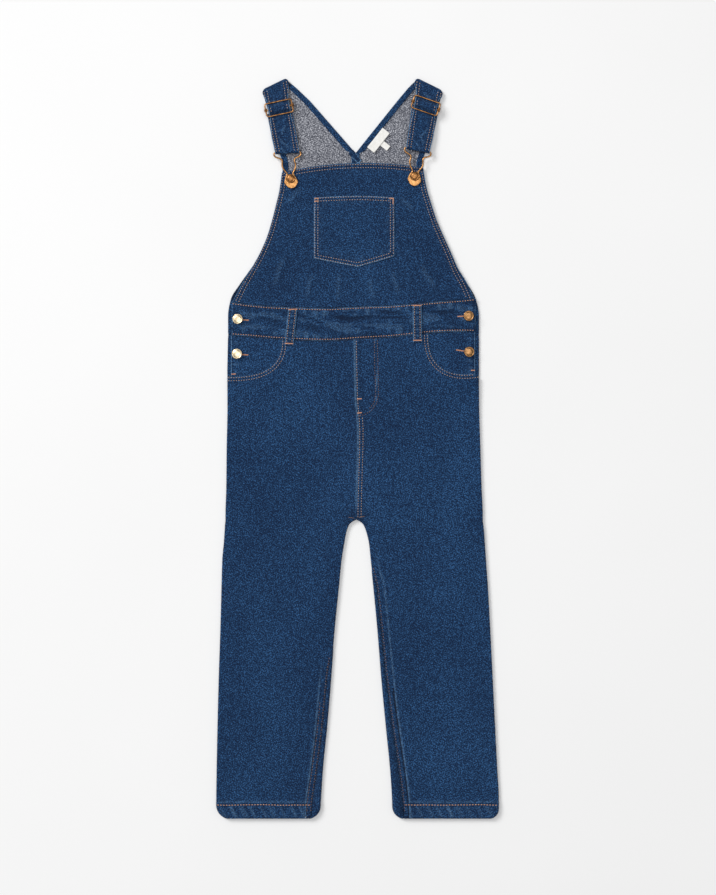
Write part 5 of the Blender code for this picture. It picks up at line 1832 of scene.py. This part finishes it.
lay_thread("topstitch_tan", [
    (on_bib, along_all(bib_lines)), (on_pocket, along_all(pocket_rows())),
    (on_loops, along_all(line for side in SIDES for line in loop_rows(side))),
    (on_straps, along_all(line for side in SIDES for line in strap_edge_rows(side))),
    (front_legs, along_all(scoop_lines + centre_lines)),
], tan_thread)
lay_thread("topstitch_brown", [
    (front_legs, along_all(inseam_lines, pitch=3.6, length=2.2) + along_all(fly_lines)),
], brown_thread, 0.55)
lay_thread("topstitch_copper", [
    (on_band, along_all([band_row(1, -1.8), band_row(2, 1.8)])), (front_legs, hem_stitches),
], copper_thread, 0.8)

# %% Bartacks and buttonholes
TACKS = {
    # surface: x and y of both ends of each bar
    on_pocket: [(-53.8, 311.7, -48, 312.0), (-53.8, 308.2, -49, 308.5),
                (40, 312.0, 45.4, 311.7), (44.6, 311, 44.4, 304.8)],
    on_loops: [(-86.4, 172.9, -75, 173.3), (-90.6, 130.6, -80.4, 130.2),
               (69, 178, 79.8, 178), (69.6, 134.4, 80.4, 134.4)],
    front_legs: [(-0.6, 61.2, 5.4, 61.6), (-0.2, 43.6, 5.6, 44.2), (-157.6, 92.3, -152, 92.5),
                 (142, 97, 146.6, 97)],
}
BUTTONHOLES = {
    front_legs: [(-148, 117, -136.4, 116.2), (123.4, 122.6, 136, 120.6)],
    on_band: [(-147, 160.2, -135.6, 159.6), (125, 164.2, 136, 164.8)],
}
CROTCH_TACKS = [(-11, -86.6, -4, -87.8), (2, -86.8, 9, -85.4)]


def bars(surface, places, *gauge):
    return surface, [stitch for place in places for stitch in bartack(*place, *gauge)]


lay_thread("crotch_tacks", [bars(front_legs, CROTCH_TACKS, 1.0, 0.8)], brown_thread, 0.6)
lay_thread("bartacks", [bars(*tacks) for tacks in TACKS.items()]
           + [bars(*holes, 1.9, 0.5) for holes in BUTTONHOLES.items()], salmon_thread, 0.55)

# %% Stitches on the hidden side and round the neck
ys, xs = np.linspace(-84, 362, 90), np.linspace(-158, 148, 60)
centre_back = np.where(ys > BACK_WAIST, BACK_CENTRE, centre_x(np.minimum(ys, BACK_WAIST)))
back_lines = [line for shift in CENTRE_ROWS for line in (
    np.column_stack((centre_back + shift, ys)),
    np.column_stack((xs, np.full(len(xs), BACK_WAIST + shift))))]
hidden = along_all(back_lines) + neck_and_armhole(185, slice(2, -1)) + hem_stitches
lay_thread("topstitch_back", [(back_all, hidden)], tan_thread, below=True)
lay_thread("neck_stitches", [(on_back, neck_and_armhole(330))], navy_thread)

# %% [markdown]
# ## Floor, light and camera
# A pale paper floor, a large soft box overhead and a second one from the upper left give flat
# product light with a faint shadow to the lower right. The camera looks straight down.

# %% Stage
REACH = 5.0
FLOOR_LEVEL = -0.0004
VIEW_HEIGHT = 1.11875                # metres of floor seen from top to bottom

floor_mesh = bpy.data.meshes.new("floor")
floor_mesh.from_pydata([(x * REACH, y * REACH, FLOOR_LEVEL)
                        for x, y in ((-1, -1), (1, -1), (1, 1), (-1, 1))], [], [(0, 1, 2, 3)])
paper, tree, shader = new_material("matt_white_paper", {
    "Roughness": 0.95, "Specular IOR Level": 0.0})
grain = noise_at(tree, node(tree, "ShaderNodeTexCoord").outputs["Object"], 400)
feed(tree, shader, Base_Color=mix(tree, ramp(tree, grain, 0.3, 0.7),
                                  linear("#f3f3f3"), linear("#f5f5f5")))
floor_mesh.materials.append(paper)
floor = bpy.data.objects.new("floor", floor_mesh)
bpy.context.scene.collection.objects.link(floor)


def soft_box(name, spot, size, watts):
    """A square soft box that faces the garment."""
    light = bpy.data.lights.new(name, "AREA")
    light.shape = "SQUARE"
    light.size = size
    light.energy = watts
    obj = bpy.data.objects.new(name, light)
    obj.location = spot
    obj.rotation_euler = (-Vector(spot)).to_track_quat("-Z", "Y").to_euler()
    bpy.context.scene.collection.objects.link(obj)


soft_box("overhead_box", (0.0, 0.0, 5.0), 3.5, 100)
soft_box("key_box", (-4.5, 3.6, 4.4), 3.0, 335)
world = bpy.data.worlds.new("studio")
bpy.context.scene.world = world
world.use_nodes = True
background = world.node_tree.nodes["Background"]
background.inputs["Color"].default_value = (1, 1, 1, 1)
background.inputs["Strength"].default_value = 0.31
bpy.context.scene.view_settings.view_transform = "Standard"

lens = bpy.data.cameras.new("camera")
lens.lens = 85
lens.sensor_width = 36
camera = bpy.data.objects.new("camera", lens)
camera.location = (0.0006, 0.0006, 0.004 + VIEW_HEIGHT * lens.lens / lens.sensor_width)
bpy.context.scene.collection.objects.link(camera)
bpy.context.scene.camera = camera
print("camera %.2f m above the garment" % camera.location.z)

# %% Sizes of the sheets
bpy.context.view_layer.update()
for name, (width, length, area) in sorted(sheets.items()):
    print("sheet %s: %.0f x %.0f mm, %.0f cm2" % (name, width, length, area / 100))
